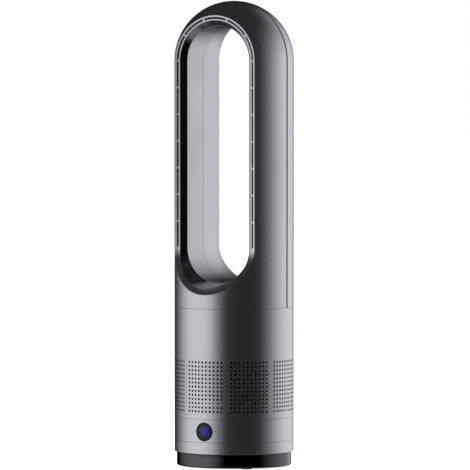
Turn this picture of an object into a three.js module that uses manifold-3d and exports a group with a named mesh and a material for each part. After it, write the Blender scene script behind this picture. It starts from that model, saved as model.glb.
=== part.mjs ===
// Bladeless tower fan. Millimetres, +Z up, the front faces -Y, origin on the ground at the tower's axis.
import * as THREE from 'three';
import { mergeVertices } from 'three/addons/utils/BufferGeometryUtils.js';
import Module from 'manifold-3d';

const wasm = await Module();
wasm.setup();

// ---------------------------------------------------------------- driving dimensions
// Fits
const seatGap = 0.3;            // between pieces that touch or are screwed together
const runGap = 0.4;             // between pieces that move past each other

// Outer form: a round column with a hemispherical top
const columnRadius = 80;
const columnHeight = 624;
const skin = 2.6;               // wall of the outer mouldings
const seam = 0.6;               // visible joint between stacked outer shells

// Stack of the outer shells, from the ground up
const footHeight = 1.4;
const plinthTop = 19.5;
const plinthInset = 3;          // how far the plinth stands back from the column
const plinthEdge = 4;           // rounding of the plinth's lower edge
const turnGap = 0.8;            // visible gap under the turning tower
const bottomRingTop = 35.6;
const grilleTop = 213.7;

// Opening through the head: a stadium, two half circles joined by straight sides
const openingLowCentre = 294;
const cheekWidth = 18.5;        // from the column's side to the band's outer edge
const bandWidth = 7.3;
const bandSink = 1.1;           // how far the band's inner edge lies behind its outer edge
const chamferWidth = 6.6;       // the chamfer runs from the band back into the throat
const chamferDepth = 7.56;
const waistStep = 0.2;          // how much narrower the waist is than the front of the throat
const waistDepth = 0;           // Y of the narrowest place
const rearRimStep = 5;          // how much narrower the rear rim is than the band
const linerWall = 2.4;
const bezelWall = 2.6;

// Outlet slots in the band
const slotInset = 4.1;          // from the band's outer edge to the slots' centre line
const slotWidth = 2.4;
const slotBridge = 2;
const sideSlotCount = 7;
const archSlotCount = 5;

// Groove between the front and the rear half of the head
const grooveDepthCentre = 3;    // Y of its middle
const grooveWidth = 3.6;
const grooveSink = 1.6;

// Intake perforations: fewer and larger holes than the real grid, over the same patches
const patchCount = 8;
const patchColumns = 4;
const patchRows = 5;
const columnPitch = 9;          // degrees, the width of a facet
const rowPitch = 15.5;
const firstRowHeight = 78;
const holeSize = 4;

// Button and display
const buttonRadius = 12.2;
const buttonTravel = 0.8;
const bezelRingWidth = 0.8;
const bandMargin = 1.85;        // of the control band above and below the button's bezel
const buttonDrop = 1.15;        // how far the button sits below the middle of the band
const lensThickness = 3;

// Oscillation drive
const gearModule = 1.5;
const fixedTeeth = 24;
const pinionTeeth = 10;
const gearThickness = 5;
const postRadius = 9;
const postBore = 5;
const postFlangeRadius = 19;
const postFlangeThickness = 3;
const turntableThickness = 4;
const motorCanRadius = 14;
const motorCanHeight = 17;
const motorShaftOffset = 8;

// Air path
const ductRoom = 19.4;          // between the duct and the inside of the intake shell
const ductWall = 2.2;
const mouthReach = 14.7;        // height of the bellmouth
const impellerBottom = 104;
const impellerHeight = 34;
const impellerBlades = 9;
const passageWidth = 19.8;      // of the air path round the motor
const hubBottomRadius = 15;
const bladeThickness = 1.4;
const bladeSweep = 62;          // degrees that a blade winds round the hub
const tipGap = 0.8;
const vaneCount = 9;
const vaneThickness = 1.6;
const vaneSweep = 24;           // degrees
const ductDrop = 7.7;           // of the duct's top below the top of the intake shell
const neckStep = 6;             // how much narrower the neck into the head is than the duct
const ductFlangeWidth = 12;
const vaneHeight = 26;
const shaftRadius = 3;

// Power inlet in the plinth
const pocketWidth = 16;
const pocketHeight = 10;
const pocketDepth = 12;
const pocketWall = 1.6;

// Facets
const roundSegments = 40;       // per turn, on the large outer shells
const innerSegments = 16;       // on the pieces inside
const smallSegments = 12;
const domeRings = 8;

// ---------------------------------------------------------------- sizes that follow
const domeCentre = columnHeight - columnRadius;
const towerBottom = plinthTop + turnGap;
const bandBottom = bottomRingTop + seam;
const controlBandTop = bandBottom + 2 * (buttonRadius + seatGap + bezelRingWidth + bandMargin);
const buttonHeight = (bandBottom + controlBandTop) / 2 - buttonDrop;
const headBottom = grilleTop + seam;
const shellInside = columnRadius - skin;
const plinthRadius = columnRadius - plinthInset;
const rimRadius = columnRadius - cheekWidth;
const bandInnerRadius = rimRadius - bandWidth;
const throatRadius = bandInnerRadius - chamferWidth;
const rimDepth = Math.sqrt(columnRadius * columnRadius - rimRadius * rimRadius);
const throatFrontDepth = bandSink + chamferDepth - rimDepth;
const waistRadius = throatRadius - waistStep;
const rearRimRadius = rimRadius - rearRimStep;
const slotRadius = rimRadius - slotInset;
const ductRadius = shellInside - ductRoom;
const ductInside = ductRadius - ductWall;
const hubTopRadius = ductInside - passageWidth;
const neckRadius = ductRadius - neckStep;
const impellerTop = impellerBottom + impellerHeight;
const ductTop = grilleTop - ductDrop;

// ---------------------------------------------------------------- materials
function material(colour, roughness, metalness) {
  return new THREE.MeshStandardMaterial({ color: colour, roughness, metalness });
}
const gunmetal = material(0x8d9297, 0.32, 0.85);
const darkTrim = material(0x4c4f53, 0.35, 0.6);
const blackGloss = material(0x0a0b0d, 0.08, 0.1);
const blackPlastic = material(0x1c1d1f, 0.6, 0);
const greyPlastic = material(0x6d7074, 0.55, 0);
const whitePlastic = material(0xdadbd8, 0.5, 0);
const clearPlastic = material(0x9fc4ff, 0.25, 0);
const rubber = material(0x141414, 0.9, 0);
const steel = material(0xb4b7ba, 0.35, 1);
const copper = material(0xb26a3c, 0.4, 1);
const aluminium = material(0xc2c5c8, 0.4, 1);
const boardGreen = material(0x1f5a38, 0.5, 0);

// ---------------------------------------------------------------- shape helpers
// Joins equal corners and drops triangles of no area, so that a geometry is one closed surface.
function closedSurface(geometry) {
  const bare = geometry.clone();
  bare.deleteAttribute('normal');
  bare.deleteAttribute('uv');
  const merged = mergeVertices(bare, 1e-4);
  const index = merged.index.array;
  const kept = [];
  for (let i = 0; i < index.length; i += 3) {
    const [a, b, c] = [index[i], index[i + 1], index[i + 2]];
    if (a !== b && b !== c && c !== a) kept.push(a, b, c);
  }
  merged.setIndex(kept);
  return merged;
}

function toSolid(geometry) {
  const surface = closedSurface(geometry);
  const mesh = new wasm.Mesh({
    numProp: 3,
    vertProperties: new Float32Array(surface.attributes.position.array),
    triVerts: new Uint32Array(surface.index.array),
  });
  return new wasm.Manifold(mesh);
}

function fromSolid(solid) {
  const mesh = solid.getMesh();
  const geometry = new THREE.BufferGeometry();
  geometry.setAttribute('position', new THREE.BufferAttribute(new Float32Array(mesh.vertProperties), 3));
  geometry.setIndex(Array.from(mesh.triVerts));
  geometry.computeVertexNormals();
  return geometry;
}

function cut(geometry, ...cutters) {
  const result = cutters.reduce((solid, cutter) => solid.subtract(toSolid(cutter)), toSolid(geometry));
  return fromSolid(result);
}

function join(geometry, ...others) {
  const result = others.reduce((solid, other) => solid.add(toSolid(other)), toSolid(geometry));
  return fromSolid(result);
}

function common(geometry, other) {
  return fromSolid(toSolid(geometry).intersect(toSolid(other)));
}

// Turns a profile of [radius, height] points, closed on itself or ended on the axis, about Z.
function revolve(profile, segments = innerSegments) {
  const onAxis = profile[0][0] === 0 && profile[profile.length - 1][0] === 0;
  const loop = onAxis ? profile : [...profile, profile[0]];
  let area = 0;
  for (let i = 0; i < profile.length; i += 1) {
    const [r1, h1] = profile[i];
    const [r2, h2] = profile[(i + 1) % profile.length];
    area += r1 * h2 - r2 * h1;
  }
  const ordered = area > 0 ? loop : [...loop].reverse();
  const points = ordered.map(([r, h]) => new THREE.Vector2(r, h));
  return new THREE.LatheGeometry(points, segments).rotateX(Math.PI / 2);
}

function ring(innerRadius, outerRadius, bottom, top, segments = innerSegments) {
  if (innerRadius === 0) {
    return revolve([[0, bottom], [outerRadius, bottom], [outerRadius, top], [0, top]], segments);
  }
  const profile = [[innerRadius, bottom], [outerRadius, bottom], [outerRadius, top], [innerRadius, top]];
  return revolve(profile, segments);
}

// Distance from the axis to the middle of a facet, on a faceted round surface.
function flatOf(radius, segments = innerSegments) {
  return radius * Math.cos(Math.PI / segments);
}

// A box given by its two opposite corners.
function box(x1, y1, z1, x2, y2, z2) {
  const geometry = new THREE.BoxGeometry(x2 - x1, y2 - y1, z2 - z1);
  return geometry.translate((x1 + x2) / 2, (y1 + y2) / 2, (z1 + z2) / 2);
}

// A round bar along Y between two depths.
function barAlongY(radius, y1, y2, height, segments = smallSegments) {
  const bar = new THREE.CylinderGeometry(radius, radius, y2 - y1, segments);
  return bar.translate(0, (y1 + y2) / 2, height);
}

// An outline in X and Y, extruded from one height to another.
function plate(outline, bottom, top, holes = []) {
  const shape = new THREE.Shape(outline.map(([x, y]) => new THREE.Vector2(x, y)));
  for (const hole of holes) {
    shape.holes.push(new THREE.Path(hole.map(([x, y]) => new THREE.Vector2(x, y))));
  }
  const settings = { depth: top - bottom, bevelEnabled: false };
  return new THREE.ExtrudeGeometry(shape, settings).translate(0, 0, bottom);
}

function circlePoints(radius, count, x = 0, y = 0, start = 0) {
  return Array.from({ length: count }, (_, i) => {
    const angle = start + (2 * Math.PI * i) / count;
    return [x + radius * Math.cos(angle), y + radius * Math.sin(angle)];
  });
}

// ---------------------------------------------------------------- the opening's stadium path
// A station is a place on the stadium path: the centre it turns round and its outward direction.
const arcSteps = 14;

function stadiumStations() {
  const stations = [];
  for (let i = 0; i <= arcSteps; i += 1) {
    stations.push({ centre: domeCentre, angle: (Math.PI * i) / arcSteps, onDome: true });
  }
  for (let i = 0; i <= arcSteps; i += 1) {
    stations.push({ centre: openingLowCentre, angle: Math.PI + (Math.PI * i) / arcSteps, onDome: false });
  }
  return stations;
}

// Depth of the outer surface at a distance from the path's centre line.
function surfaceDepth(distance, station, radius = columnRadius) {
  const across = station.onDome ? distance : distance * Math.cos(station.angle);
  return Math.sqrt(radius * radius - across * across);
}

function stationPoint(station, distance, depth) {
  const x = distance * Math.cos(station.angle);
  const z = station.centre + distance * Math.sin(station.angle);
  return [x, depth, z];
}

// Sweeps a section round the stadium path. The section is a function from a station to its
// [distance, depth] corners, which run anticlockwise with distance to the right and depth up.
function sweepRound(section) {
  const stations = stadiumStations();
  const corners = stations.map((station) => section(station).map(([w, y]) => stationPoint(station, w, y)));
  const perSection = corners[0].length;
  const index = [];
  for (let i = 0; i < stations.length; i += 1) {
    const next = (i + 1) % stations.length;
    for (let j = 0; j < perSection; j += 1) {
      const k = (j + 1) % perSection;
      const [a, b] = [i * perSection + j, i * perSection + k];
      const [c, d] = [next * perSection + k, next * perSection + j];
      index.push(a, b, c, a, c, d);
    }
  }
  const geometry = new THREE.BufferGeometry();
  geometry.setAttribute('position', new THREE.Float32BufferAttribute(corners.flat(2), 3));
  geometry.setIndex(index);
  return geometry;
}

// A plug of the stadium's shape between two depths, to cut the opening with.
function stadiumPlug(distance, front, back) {
  const outline = stadiumStations().map((station) => {
    const [x, , z] = stationPoint(station, distance, 0);
    return new THREE.Vector2(x, z);
  });
  const settings = { depth: back - front, bevelEnabled: false };
  const plug = new THREE.ExtrudeGeometry(new THREE.Shape(outline), settings);
  return plug.rotateX(Math.PI / 2).translate(0, back, 0);
}

// The column with its domed top, as a solid of the given radius.
function domedColumn(radius, bottom) {
  const profile = [[0, bottom], [radius, bottom]];
  for (let i = 0; i < domeRings; i += 1) {
    const angle = (Math.PI / 2) * (i / domeRings);
    profile.push([radius * Math.cos(angle), domeCentre + radius * Math.sin(angle)]);
  }
  profile.push([0, domeCentre + radius]);
  return revolve(profile, roundSegments);
}

// ---------------------------------------------------------------- head
const big = 400;                // reach of the cutters beyond the part

function halfOfHead(front, back, plugRadius) {
  const half = common(
    domedColumn(columnRadius, headBottom),
    box(-big, front, -big, big, back, columnHeight + big),
  );
  return cut(half, domedColumn(shellInside, headBottom - big), stadiumPlug(plugRadius, front - big, back + big));
}

const grooveFront = grooveDepthCentre - grooveWidth / 2;
const grooveBack = grooveDepthCentre + grooveWidth / 2;

function headFrontShell() {
  return halfOfHead(-big, grooveFront, rimRadius);
}

function headRearShell() {
  return halfOfHead(grooveBack, big, rearRimRadius);
}

// The dark strip that lies sunk in the groove between the two halves.
function seamStrip() {
  const outside = columnRadius - grooveSink;
  const slab = box(-big, grooveFront + seatGap, -big, big, grooveBack - seatGap, columnHeight + big);
  return cut(common(domedColumn(outside, headBottom), slab), domedColumn(shellInside, headBottom - big));
}

// The band round the front of the opening and the chamfer behind it, still without its slots.
function plainBezel() {
  const rim = rimRadius - seatGap;
  return sweepRound((station) => {
    const front = -surfaceDepth(rim, station);
    const inner = front + bandSink;
    return [
      [rim, front],
      [rim, front + bezelWall + 0.4],
      [bandInnerRadius + bezelWall / 2, inner + bezelWall],
      [throatRadius + linerWall, throatFrontDepth],
      [throatRadius, throatFrontDepth],
      [bandInnerRadius, inner],
    ];
  });
}

// One slot of the band between two angles of the arch.
function archSlot(startAngle, endAngle) {
  const steps = 3;
  const outline = [];
  for (let i = 0; i <= steps; i += 1) {
    const angle = startAngle + ((endAngle - startAngle) * i) / steps;
    outline.push([slotRadius + slotWidth / 2, angle]);
  }
  for (let i = steps; i >= 0; i -= 1) {
    const angle = startAngle + ((endAngle - startAngle) * i) / steps;
    outline.push([slotRadius - slotWidth / 2, angle]);
  }
  const corners = outline.map(([r, angle]) => new THREE.Vector2(r * Math.cos(angle), r * Math.sin(angle)));
  const depth = columnRadius;
  const slot = new THREE.ExtrudeGeometry(new THREE.Shape(corners), { depth, bevelEnabled: false });
  return slot.rotateX(Math.PI / 2).translate(0, 0, domeCentre);
}

function outletSlots() {
  const slots = [];
  const sidePitch = (domeCentre - openingLowCentre) / sideSlotCount;
  for (const side of [-1, 1]) {
    for (let i = 0; i < sideSlotCount; i += 1) {
      const low = openingLowCentre + i * sidePitch + slotBridge / 2;
      const high = low + sidePitch - slotBridge;
      const [near, far] = [side * slotRadius - slotWidth / 2, side * slotRadius + slotWidth / 2];
      slots.push(box(near, -columnRadius, low, far, 0, high));
    }
  }
  const bridgeAngle = slotBridge / slotRadius;
  const archPitch = Math.PI / archSlotCount;
  for (let i = 0; i < archSlotCount; i += 1) {
    slots.push(archSlot(i * archPitch + bridgeAngle / 2, (i + 1) * archPitch - bridgeAngle / 2));
  }
  return slots;
}

function outletBezel() {
  return cut(plainBezel(), ...outletSlots());
}

function frontLiner() {
  const front = throatFrontDepth + seatGap;
  const back = waistDepth;
  return sweepRound(() => [
    [throatRadius, front],
    [throatRadius + linerWall, front],
    [waistRadius + linerWall, back],
    [waistRadius, back],
  ]);
}

// The band and the front liner are each made in four lengths: the arch, the low arc and two straight
// sides, which meet end to end where the arcs begin.
function lengthsOf(wholeRing) {
  const half = seatGap / 2;
  const [low, high] = [openingLowCentre, domeCentre];
  const spaces = {
    top: box(-big, -big, high + half, big, big, columnHeight + big),
    bottom: box(-big, -big, -big, big, big, low - half),
    left: box(-big, -big, low + half, 0, big, high - half),
    right: box(0, -big, low + half, big, big, high - half),
  };
  return Object.entries(spaces).map(([place, space]) => [place, common(wholeRing, space)]);
}

// The rear liner opens out from the waist to the rear rim.
function rearLiner() {
  const rim = rearRimRadius - seatGap;
  const start = waistDepth + seam;
  const flare = (t) => waistRadius + seam + (rim - waistRadius - seam) * t * t;
  const shellOverlap = 4.4;
  return sweepRound((station) => {
    const end = surfaceDepth(rim, station);
    const depth = (t) => start + (end - start) * t;
    const [low, high] = [0.4, 0.8];
    return [
      [flare(0) + linerWall, start],
      [flare(low) + linerWall, depth(low)],
      [flare(high) + linerWall, depth(high)],
      [rim, end - shellOverlap],
      [rim, end],
      [flare(high), depth(high)],
      [flare(low), depth(low)],
      [flare(0), start],
    ];
  });
}

// The ring that joins the head to the body: a flange in the head, a neck down to the duct and a
// skirt down inside the intake shell.
const collarFlange = 3;
const collarSkirt = 7;
const jointLap = 2.5;           // wall of the skirts that lap inside the next shell
const neckWall = 3;
const gasketHeight = 1.7;
const neckBottom = ductTop + gasketHeight + 2 * seatGap;

function headCollar() {
  const flangeBottom = headBottom + seatGap;
  const outside = shellInside - seatGap;
  return revolve([
    [neckRadius, neckBottom],
    [neckRadius + neckWall, neckBottom],
    [neckRadius + neckWall, flangeBottom],
    [outside - jointLap, flangeBottom],
    [outside - jointLap, headBottom - collarSkirt],
    [outside, headBottom - collarSkirt],
    [outside, flangeBottom + collarFlange],
    [neckRadius, flangeBottom + collarFlange],
  ]);
}

// ---------------------------------------------------------------- intake shell
// Square perforations in patches round the shell, one patch facing front.
function perforations() {
  const holes = [];
  for (let patch = 0; patch < patchCount; patch += 1) {
    const facing = (360 / patchCount) * patch;
    for (let column = 0; column < patchColumns; column += 1) {
      const angle = facing + (column - (patchColumns - 1) / 2) * columnPitch;
      for (let row = 0; row < patchRows; row += 1) {
        const height = firstRowHeight + row * rowPitch;
        const hole = new THREE.BoxGeometry(holeSize, 3 * skin, holeSize);
        hole.translate(0, -(columnRadius - skin / 2), height);
        holes.push(hole.rotateZ(THREE.MathUtils.degToRad(angle)));
      }
    }
  }
  return holes;
}

function intakeGrille() {
  const shell = ring(shellInside, columnRadius, controlBandTop + seam, grilleTop, roundSegments);
  return cut(shell, ...perforations());
}

// ---------------------------------------------------------------- control band and bottom ring
const lapHeight = 4.5;
const buttonHoleRadius = buttonRadius + seatGap + bezelRingWidth + seatGap;
const boardSetback = 17.7;      // of the control board's front face from the column's front
const boardFront = boardSetback - columnRadius;
const boardWidth = 48;
const boardHeight = 25;
const boardThickness = 1.6;
const boardPostSpacing = 36;
const boardPostRadius = 2.5;

// The shell laps inside the shells above and below it, and carries two posts for its board.
function controlBand() {
  const lapOutside = shellInside - seatGap;
  const lapInside = lapOutside - jointLap;
  const shell = revolve([
    [lapInside, bandBottom - lapHeight],
    [lapOutside, bandBottom - lapHeight],
    [lapOutside, bandBottom],
    [columnRadius, bandBottom],
    [columnRadius, controlBandTop],
    [lapOutside, controlBandTop],
    [lapOutside, controlBandTop + lapHeight],
    [lapInside, controlBandTop + lapHeight],
  ], roundSegments);
  const posts = [-1, 1].map((side) => {
    const post = barAlongY(boardPostRadius, -shellInside + 1, boardFront - seatGap, buttonHeight);
    return post.translate((side * boardPostSpacing) / 2, 0, 0);
  });
  const hole = barAlongY(buttonHoleRadius, -2 * columnRadius, boardFront, buttonHeight, innerSegments);
  return cut(join(shell, ...posts), hole);
}

function bottomRing() {
  return ring(shellInside, columnRadius, towerBottom, bottomRingTop, roundSegments);
}

// ---------------------------------------------------------------- button and its board
// A disc or ring of the outer skin, cut out along Y.
function skinDisc(radius, wall) {
  const bar = barAlongY(radius, -2 * columnRadius, 0, buttonHeight, innerSegments);
  return common(bar, ring(columnRadius - wall, columnRadius, 0, controlBandTop * 2, roundSegments));
}

function buttonBezel() {
  const bore = barAlongY(buttonRadius + seatGap, -2 * columnRadius, 0, buttonHeight, innerSegments);
  return cut(skinDisc(buttonRadius + seatGap + bezelRingWidth, skin + 1), bore);
}

function buttonLens() {
  return skinDisc(buttonRadius, lensThickness);
}

const guideRadius = 9;
const guideLength = 8;
const stemRadius = 2;
const lensBack = columnRadius - lensThickness;
const guideFront = -Math.sqrt(lensBack * lensBack - guideRadius * guideRadius) + seatGap;
const guideBack = guideFront + guideLength;
const switchSize = 6;
const switchDepth = 3.2;
const switchFront = boardFront - seatGap - switchDepth;
const stemEnd = switchFront - seatGap;

// The clear pad behind the lens spreads the light and has the stem that presses the switch.
function buttonLightGuide() {
  const pad = barAlongY(guideRadius, guideFront, guideBack, buttonHeight, innerSegments);
  return join(pad, barAlongY(stemRadius, guideBack - 1, stemEnd, buttonHeight));
}

function tactSwitch() {
  const half = switchSize / 2;
  const body = box(-half, switchFront, buttonHeight - half, half, boardFront - seatGap, buttonHeight + half);
  const well = barAlongY(stemRadius + runGap, switchFront - 1, switchFront + buttonTravel, buttonHeight);
  return cut(body, well);
}

const ledOffset = 6;
const ledRadius = 1.6;
const ledDepth = 2.4;

function boardBead(side) {
  const bead = barAlongY(ledRadius, boardFront - seatGap - ledDepth, boardFront - seatGap, buttonHeight);
  return bead.translate(side * ledOffset, 0, 0);
}

function statusLed() {
  return boardBead(1);
}

function irReceiver() {
  return boardBead(-1);
}

function controlBoard() {
  const [left, low] = [-boardWidth / 2, buttonHeight - boardHeight / 2];
  const board = box(left, boardFront, low, -left, boardFront + boardThickness, low + boardHeight);
  const notch = 4;
  const corner = box(left - 1, boardFront - 1, low - 1, left + notch, boardFront + 3, low + notch);
  return cut(board, corner);
}

// ---------------------------------------------------------------- base
const plateThickness = 2.6;
const plateInset = 4.7;         // from the plinth's side to the base plate's edge
const plateRadius = plinthRadius - plateInset;
const footRadius = 8;
const footInset = 10.3;         // from the base plate's edge to a foot's axis
const footSpacing = plateRadius - footInset;
const footSink = 1.4;           // depth of their seats in the base plate
const footAngles = [45, 135, 225, 315];
const deckBottom = plinthTop - skin;
const deckHole = postRadius + seatGap;
const weightInset = 4.3;        // from the base plate's edge to the weight
const weightBoreRoom = 3;       // between the weight and the flange of the post
const weightOutside = plateRadius - weightInset;
const weightInside = postFlangeRadius + weightBoreRoom;
const weightHeight = 8;

function inletPocket() {
  const half = pocketWidth / 2;
  const low = footHeight + plateThickness + seatGap + pocketWall;
  return { half, low, high: low + pocketHeight, back: plinthRadius - pocketDepth, middle: low + pocketHeight / 2 };
}

const snoutRadius = 4.9;

// The moulded foot: an open shell with a deck, and a walled pocket at the back for the inlet.
function basePlinth() {
  const edge = [];
  const steps = 2;
  for (let i = 0; i <= steps; i += 1) {
    const angle = (Math.PI / 2) * (i / steps);
    const radius = plinthRadius - plinthEdge + plinthEdge * Math.sin(angle);
    edge.push([radius, footHeight + plinthEdge - plinthEdge * Math.cos(angle)]);
  }
  const wallInside = plinthRadius - skin;
  const shell = revolve([
    [plateRadius + seatGap, footHeight],
    ...edge,
    [plinthRadius, plinthTop],
    [deckHole, plinthTop],
    [deckHole, deckBottom],
    [wallInside, deckBottom],
    [wallInside, footHeight + plinthEdge],
  ], roundSegments);
  const pocket = inletPocket();
  const linerHalf = pocket.half + pocketWall;
  const linerBack = pocket.back - pocketWall;
  const liner = box(-linerHalf, linerBack, pocket.low - pocketWall, linerHalf, plinthRadius - 2, deckBottom + 1);
  const hollow = box(-pocket.half, pocket.back, pocket.low, pocket.half, 2 * plinthRadius, pocket.high);
  const snoutHole = barAlongY(snoutRadius + seatGap, linerBack - 1, pocket.back + 1, pocket.middle);
  return cut(join(shell, liner), hollow, snoutHole);
}

function footPlace(angle) {
  const turn = THREE.MathUtils.degToRad(angle);
  return [footSpacing * Math.cos(turn), footSpacing * Math.sin(turn)];
}

function basePlate() {
  const plateDisc = ring(0, plateRadius, footHeight, footHeight + plateThickness, roundSegments);
  const seats = footAngles.map((angle) => {
    const [x, y] = footPlace(angle);
    const seat = ring(0, footRadius + seatGap, 0, footHeight + footSink, smallSegments);
    return seat.translate(x, y, 0);
  });
  return cut(plateDisc, ...seats);
}

function rubberFoot() {
  const top = footHeight + footSink - seatGap;
  const chamfer = 0.6;
  return revolve([
    [0, 0],
    [footRadius - chamfer, 0],
    [footRadius, chamfer],
    [footRadius, top],
    [0, top],
  ], smallSegments);
}

function baseWeight() {
  const bottom = footHeight + plateThickness + seatGap;
  const weight = ring(weightInside, weightOutside, bottom, bottom + weightHeight);
  const room = 3;
  const notchHalf = pocketWidth / 2 + room;
  const notch = box(-notchHalf, jackFront() - jackLength - room, 0, notchHalf, 2 * weightOutside, plinthTop);
  return cut(weight, notch);
}

// ---------------------------------------------------------------- power inlet
const jackLength = 13;
const jackWidth = 12;
const socketRadius = 3;
const socketDepth = 9;
const socketPin = 1;

function jackFront() {
  return inletPocket().back - pocketWall - seatGap;
}

function powerJack() {
  const { back, middle } = inletPocket();
  const half = jackWidth / 2;
  const front = jackFront();
  const body = box(-half, front - jackLength, middle - snoutRadius, half, front, middle + snoutRadius);
  const snout = barAlongY(snoutRadius, front - 1, back, middle);
  const bore = barAlongY(socketRadius, back - socketDepth, back + 1, middle);
  const pin = barAlongY(socketPin, back - socketDepth - 1, back - 1, middle, 8);
  return join(cut(join(body, snout), bore), pin);
}

// ---------------------------------------------------------------- turntable and its drive
const gearBottom = plinthTop + seatGap;
const gearTop = gearBottom + gearThickness;
const turntableBottom = gearTop + 2;
const turntableTop = turntableBottom + turntableThickness;
const hubRadius = 16;
const hubRise = 3;
const clipThickness = 1.4;
const clipBottom = turntableTop + hubRise + runGap;
const postTop = clipBottom + clipThickness + 1;
const clipGroove = 1;           // depth of the groove that the clip sits in
const centreDistance = (gearModule * (fixedTeeth + pinionTeeth)) / 2 + 0.15;
const pinionShaftRadius = 3;
const trackInset = 15.4;        // from the inside of the shell to the middle of the track
const trackRadius = shellInside - trackInset;
const trackHalfWidth = 4;
const trackHeight = 1.2;

// A spur gear outline. Teeth have straight flanks, cut thin enough to run with backlash.
function gearOutline(teeth, start) {
  const pitchRadius = (gearModule * teeth) / 2;
  const tipRadius = pitchRadius + 0.85 * gearModule;
  const rootRadius = pitchRadius - 1.1 * gearModule;
  const pitchAngle = (2 * Math.PI) / teeth;
  const flank = [
    [rootRadius, 0.32],
    [tipRadius, 0.11],
  ];
  const outline = [];
  for (let tooth = 0; tooth < teeth; tooth += 1) {
    const middle = start + tooth * pitchAngle;
    const corners = [...flank.map(([r, share]) => [r, -share]), ...[...flank].reverse()];
    for (const [r, share] of corners) {
      const angle = middle + share * pitchAngle;
      outline.push([r * Math.cos(angle), r * Math.sin(angle)]);
    }
  }
  return outline;
}

function fixedGear() {
  const bore = circlePoints(deckHole, smallSegments);
  return plate(gearOutline(fixedTeeth, Math.PI / 2), gearBottom, gearTop, [bore]);
}

// The pinion with its shaft, drawn about its own axis. A gap between teeth faces the fixed gear.
function drivePinion() {
  const toothGap = Math.PI / pinionTeeth;
  const gear = plate(gearOutline(pinionTeeth, -Math.PI / 2 + toothGap), gearBottom, gearTop);
  const shaft = ring(0, pinionShaftRadius, gearTop - 1, turntableTop, smallSegments);
  return join(gear, shaft);
}

function pivotPost() {
  const flangeTop = deckBottom - seatGap;
  const grooveRadius = postRadius - clipGroove;
  return revolve([
    [postBore, flangeTop - postFlangeThickness],
    [postFlangeRadius, flangeTop - postFlangeThickness],
    [postFlangeRadius, flangeTop],
    [postRadius, flangeTop],
    [postRadius, clipBottom - seatGap],
    [grooveRadius, clipBottom - seatGap],
    [grooveRadius, clipBottom + clipThickness + seatGap],
    [postRadius, clipBottom + clipThickness + seatGap],
    [postRadius, postTop],
    [postBore, postTop],
  ], smallSegments);
}

// An open clip that snaps into the groove of the post.
function retainingRing() {
  const clipRadius = postRadius - clipGroove + seatGap;
  const clip = ring(clipRadius, clipRadius + 4.2, clipBottom, clipBottom + clipThickness, smallSegments);
  return cut(clip, box(-3, -2 * hubRadius, 0, 3, 0, 2 * postTop));
}

function slideRing() {
  return ring(trackRadius - trackHalfWidth, trackRadius + trackHalfWidth, gearBottom, gearBottom + trackHeight);
}

// The plate that carries the tower: a hub on the post, a skid on the track, ribs between them and
// a bearing hole for the pinion.
function turntable() {
  const skidHalf = 2;
  const skidBottom = gearBottom + trackHeight + runGap;
  const outside = shellInside - seatGap;
  const disc = revolve([
    [postRadius + runGap, turntableBottom - 1],
    [hubRadius, turntableBottom - 1],
    [hubRadius, turntableBottom],
    [trackRadius - skidHalf, turntableBottom],
    [trackRadius - skidHalf, skidBottom],
    [trackRadius + skidHalf, skidBottom],
    [trackRadius + skidHalf, turntableBottom],
    [outside, turntableBottom],
    [outside, turntableTop],
    [hubRadius, turntableTop],
    [hubRadius, turntableTop + hubRise],
    [postRadius + runGap, turntableTop + hubRise],
  ]);
  const ribs = [0, 45, 135, 180, 225, 270, 315].map((angle) => {
    const rib = box(hubRadius - 1, -1, turntableTop - 1, trackRadius + 6, 1, turntableTop + hubRise - 0.5);
    return rib.rotateZ(THREE.MathUtils.degToRad(angle));
  });
  const bearing = ring(0, pinionShaftRadius + runGap, 0, 2 * turntableTop, smallSegments);
  return cut(join(disc, ...ribs), bearing.translate(0, centreDistance, 0));
}

// A round geared stepper on the turntable, its shaft boss over the pinion.
function oscillationMotor() {
  const bottom = turntableTop + seatGap;
  const can = ring(0, motorCanRadius, bottom, bottom + motorCanHeight, innerSegments);
  const ears = box(-motorCanRadius - 3, -3.5, bottom, motorCanRadius + 3, 3.5, bottom + 1);
  const leadBox = box(-7, motorCanRadius - 2, bottom + 1, 7, motorCanRadius + 3, bottom + motorCanHeight - 1);
  return join(can, ears, leadBox).translate(0, centreDistance + motorShaftOffset, 0);
}

// ---------------------------------------------------------------- floor of the intake and its electronics
const partitionThickness = 2.4;
const partitionBottom = controlBandTop - partitionThickness / 2;
const driverBoardBottom = 58;
const driverBoardHalf = [34, 24];
const driverPostRadius = 3;
const heatSinkHeight = 12;
const heatSinkFins = 5;
const cableHoleRadius = 6;

// The floor under the intake, with four posts down to the driver board.
function partitionPlate() {
  const outside = shellInside - seatGap - jointLap - seatGap;
  const floor = ring(cableHoleRadius, outside, partitionBottom, partitionBottom + partitionThickness);
  const postBottom = driverBoardBottom + boardThickness + seatGap;
  const posts = [];
  for (const sideX of [-1, 1]) {
    for (const sideY of [-1, 1]) {
      const post = ring(0, driverPostRadius, postBottom, partitionBottom + 1, smallSegments);
      const inset = driverPostRadius + 1;
      posts.push(post.translate(sideX * (driverBoardHalf[0] - inset), sideY * (driverBoardHalf[1] - inset), 0));
    }
  }
  return join(floor, ...posts);
}

function driverBoard() {
  const [halfX, halfY] = driverBoardHalf;
  const outline = [[-halfX, -halfY], [halfX, -halfY], [halfX, halfY], [-halfX, halfY]];
  const cableHole = circlePoints(cableHoleRadius, smallSegments);
  return plate(outline, driverBoardBottom, driverBoardBottom + boardThickness, [cableHole]);
}

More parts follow.
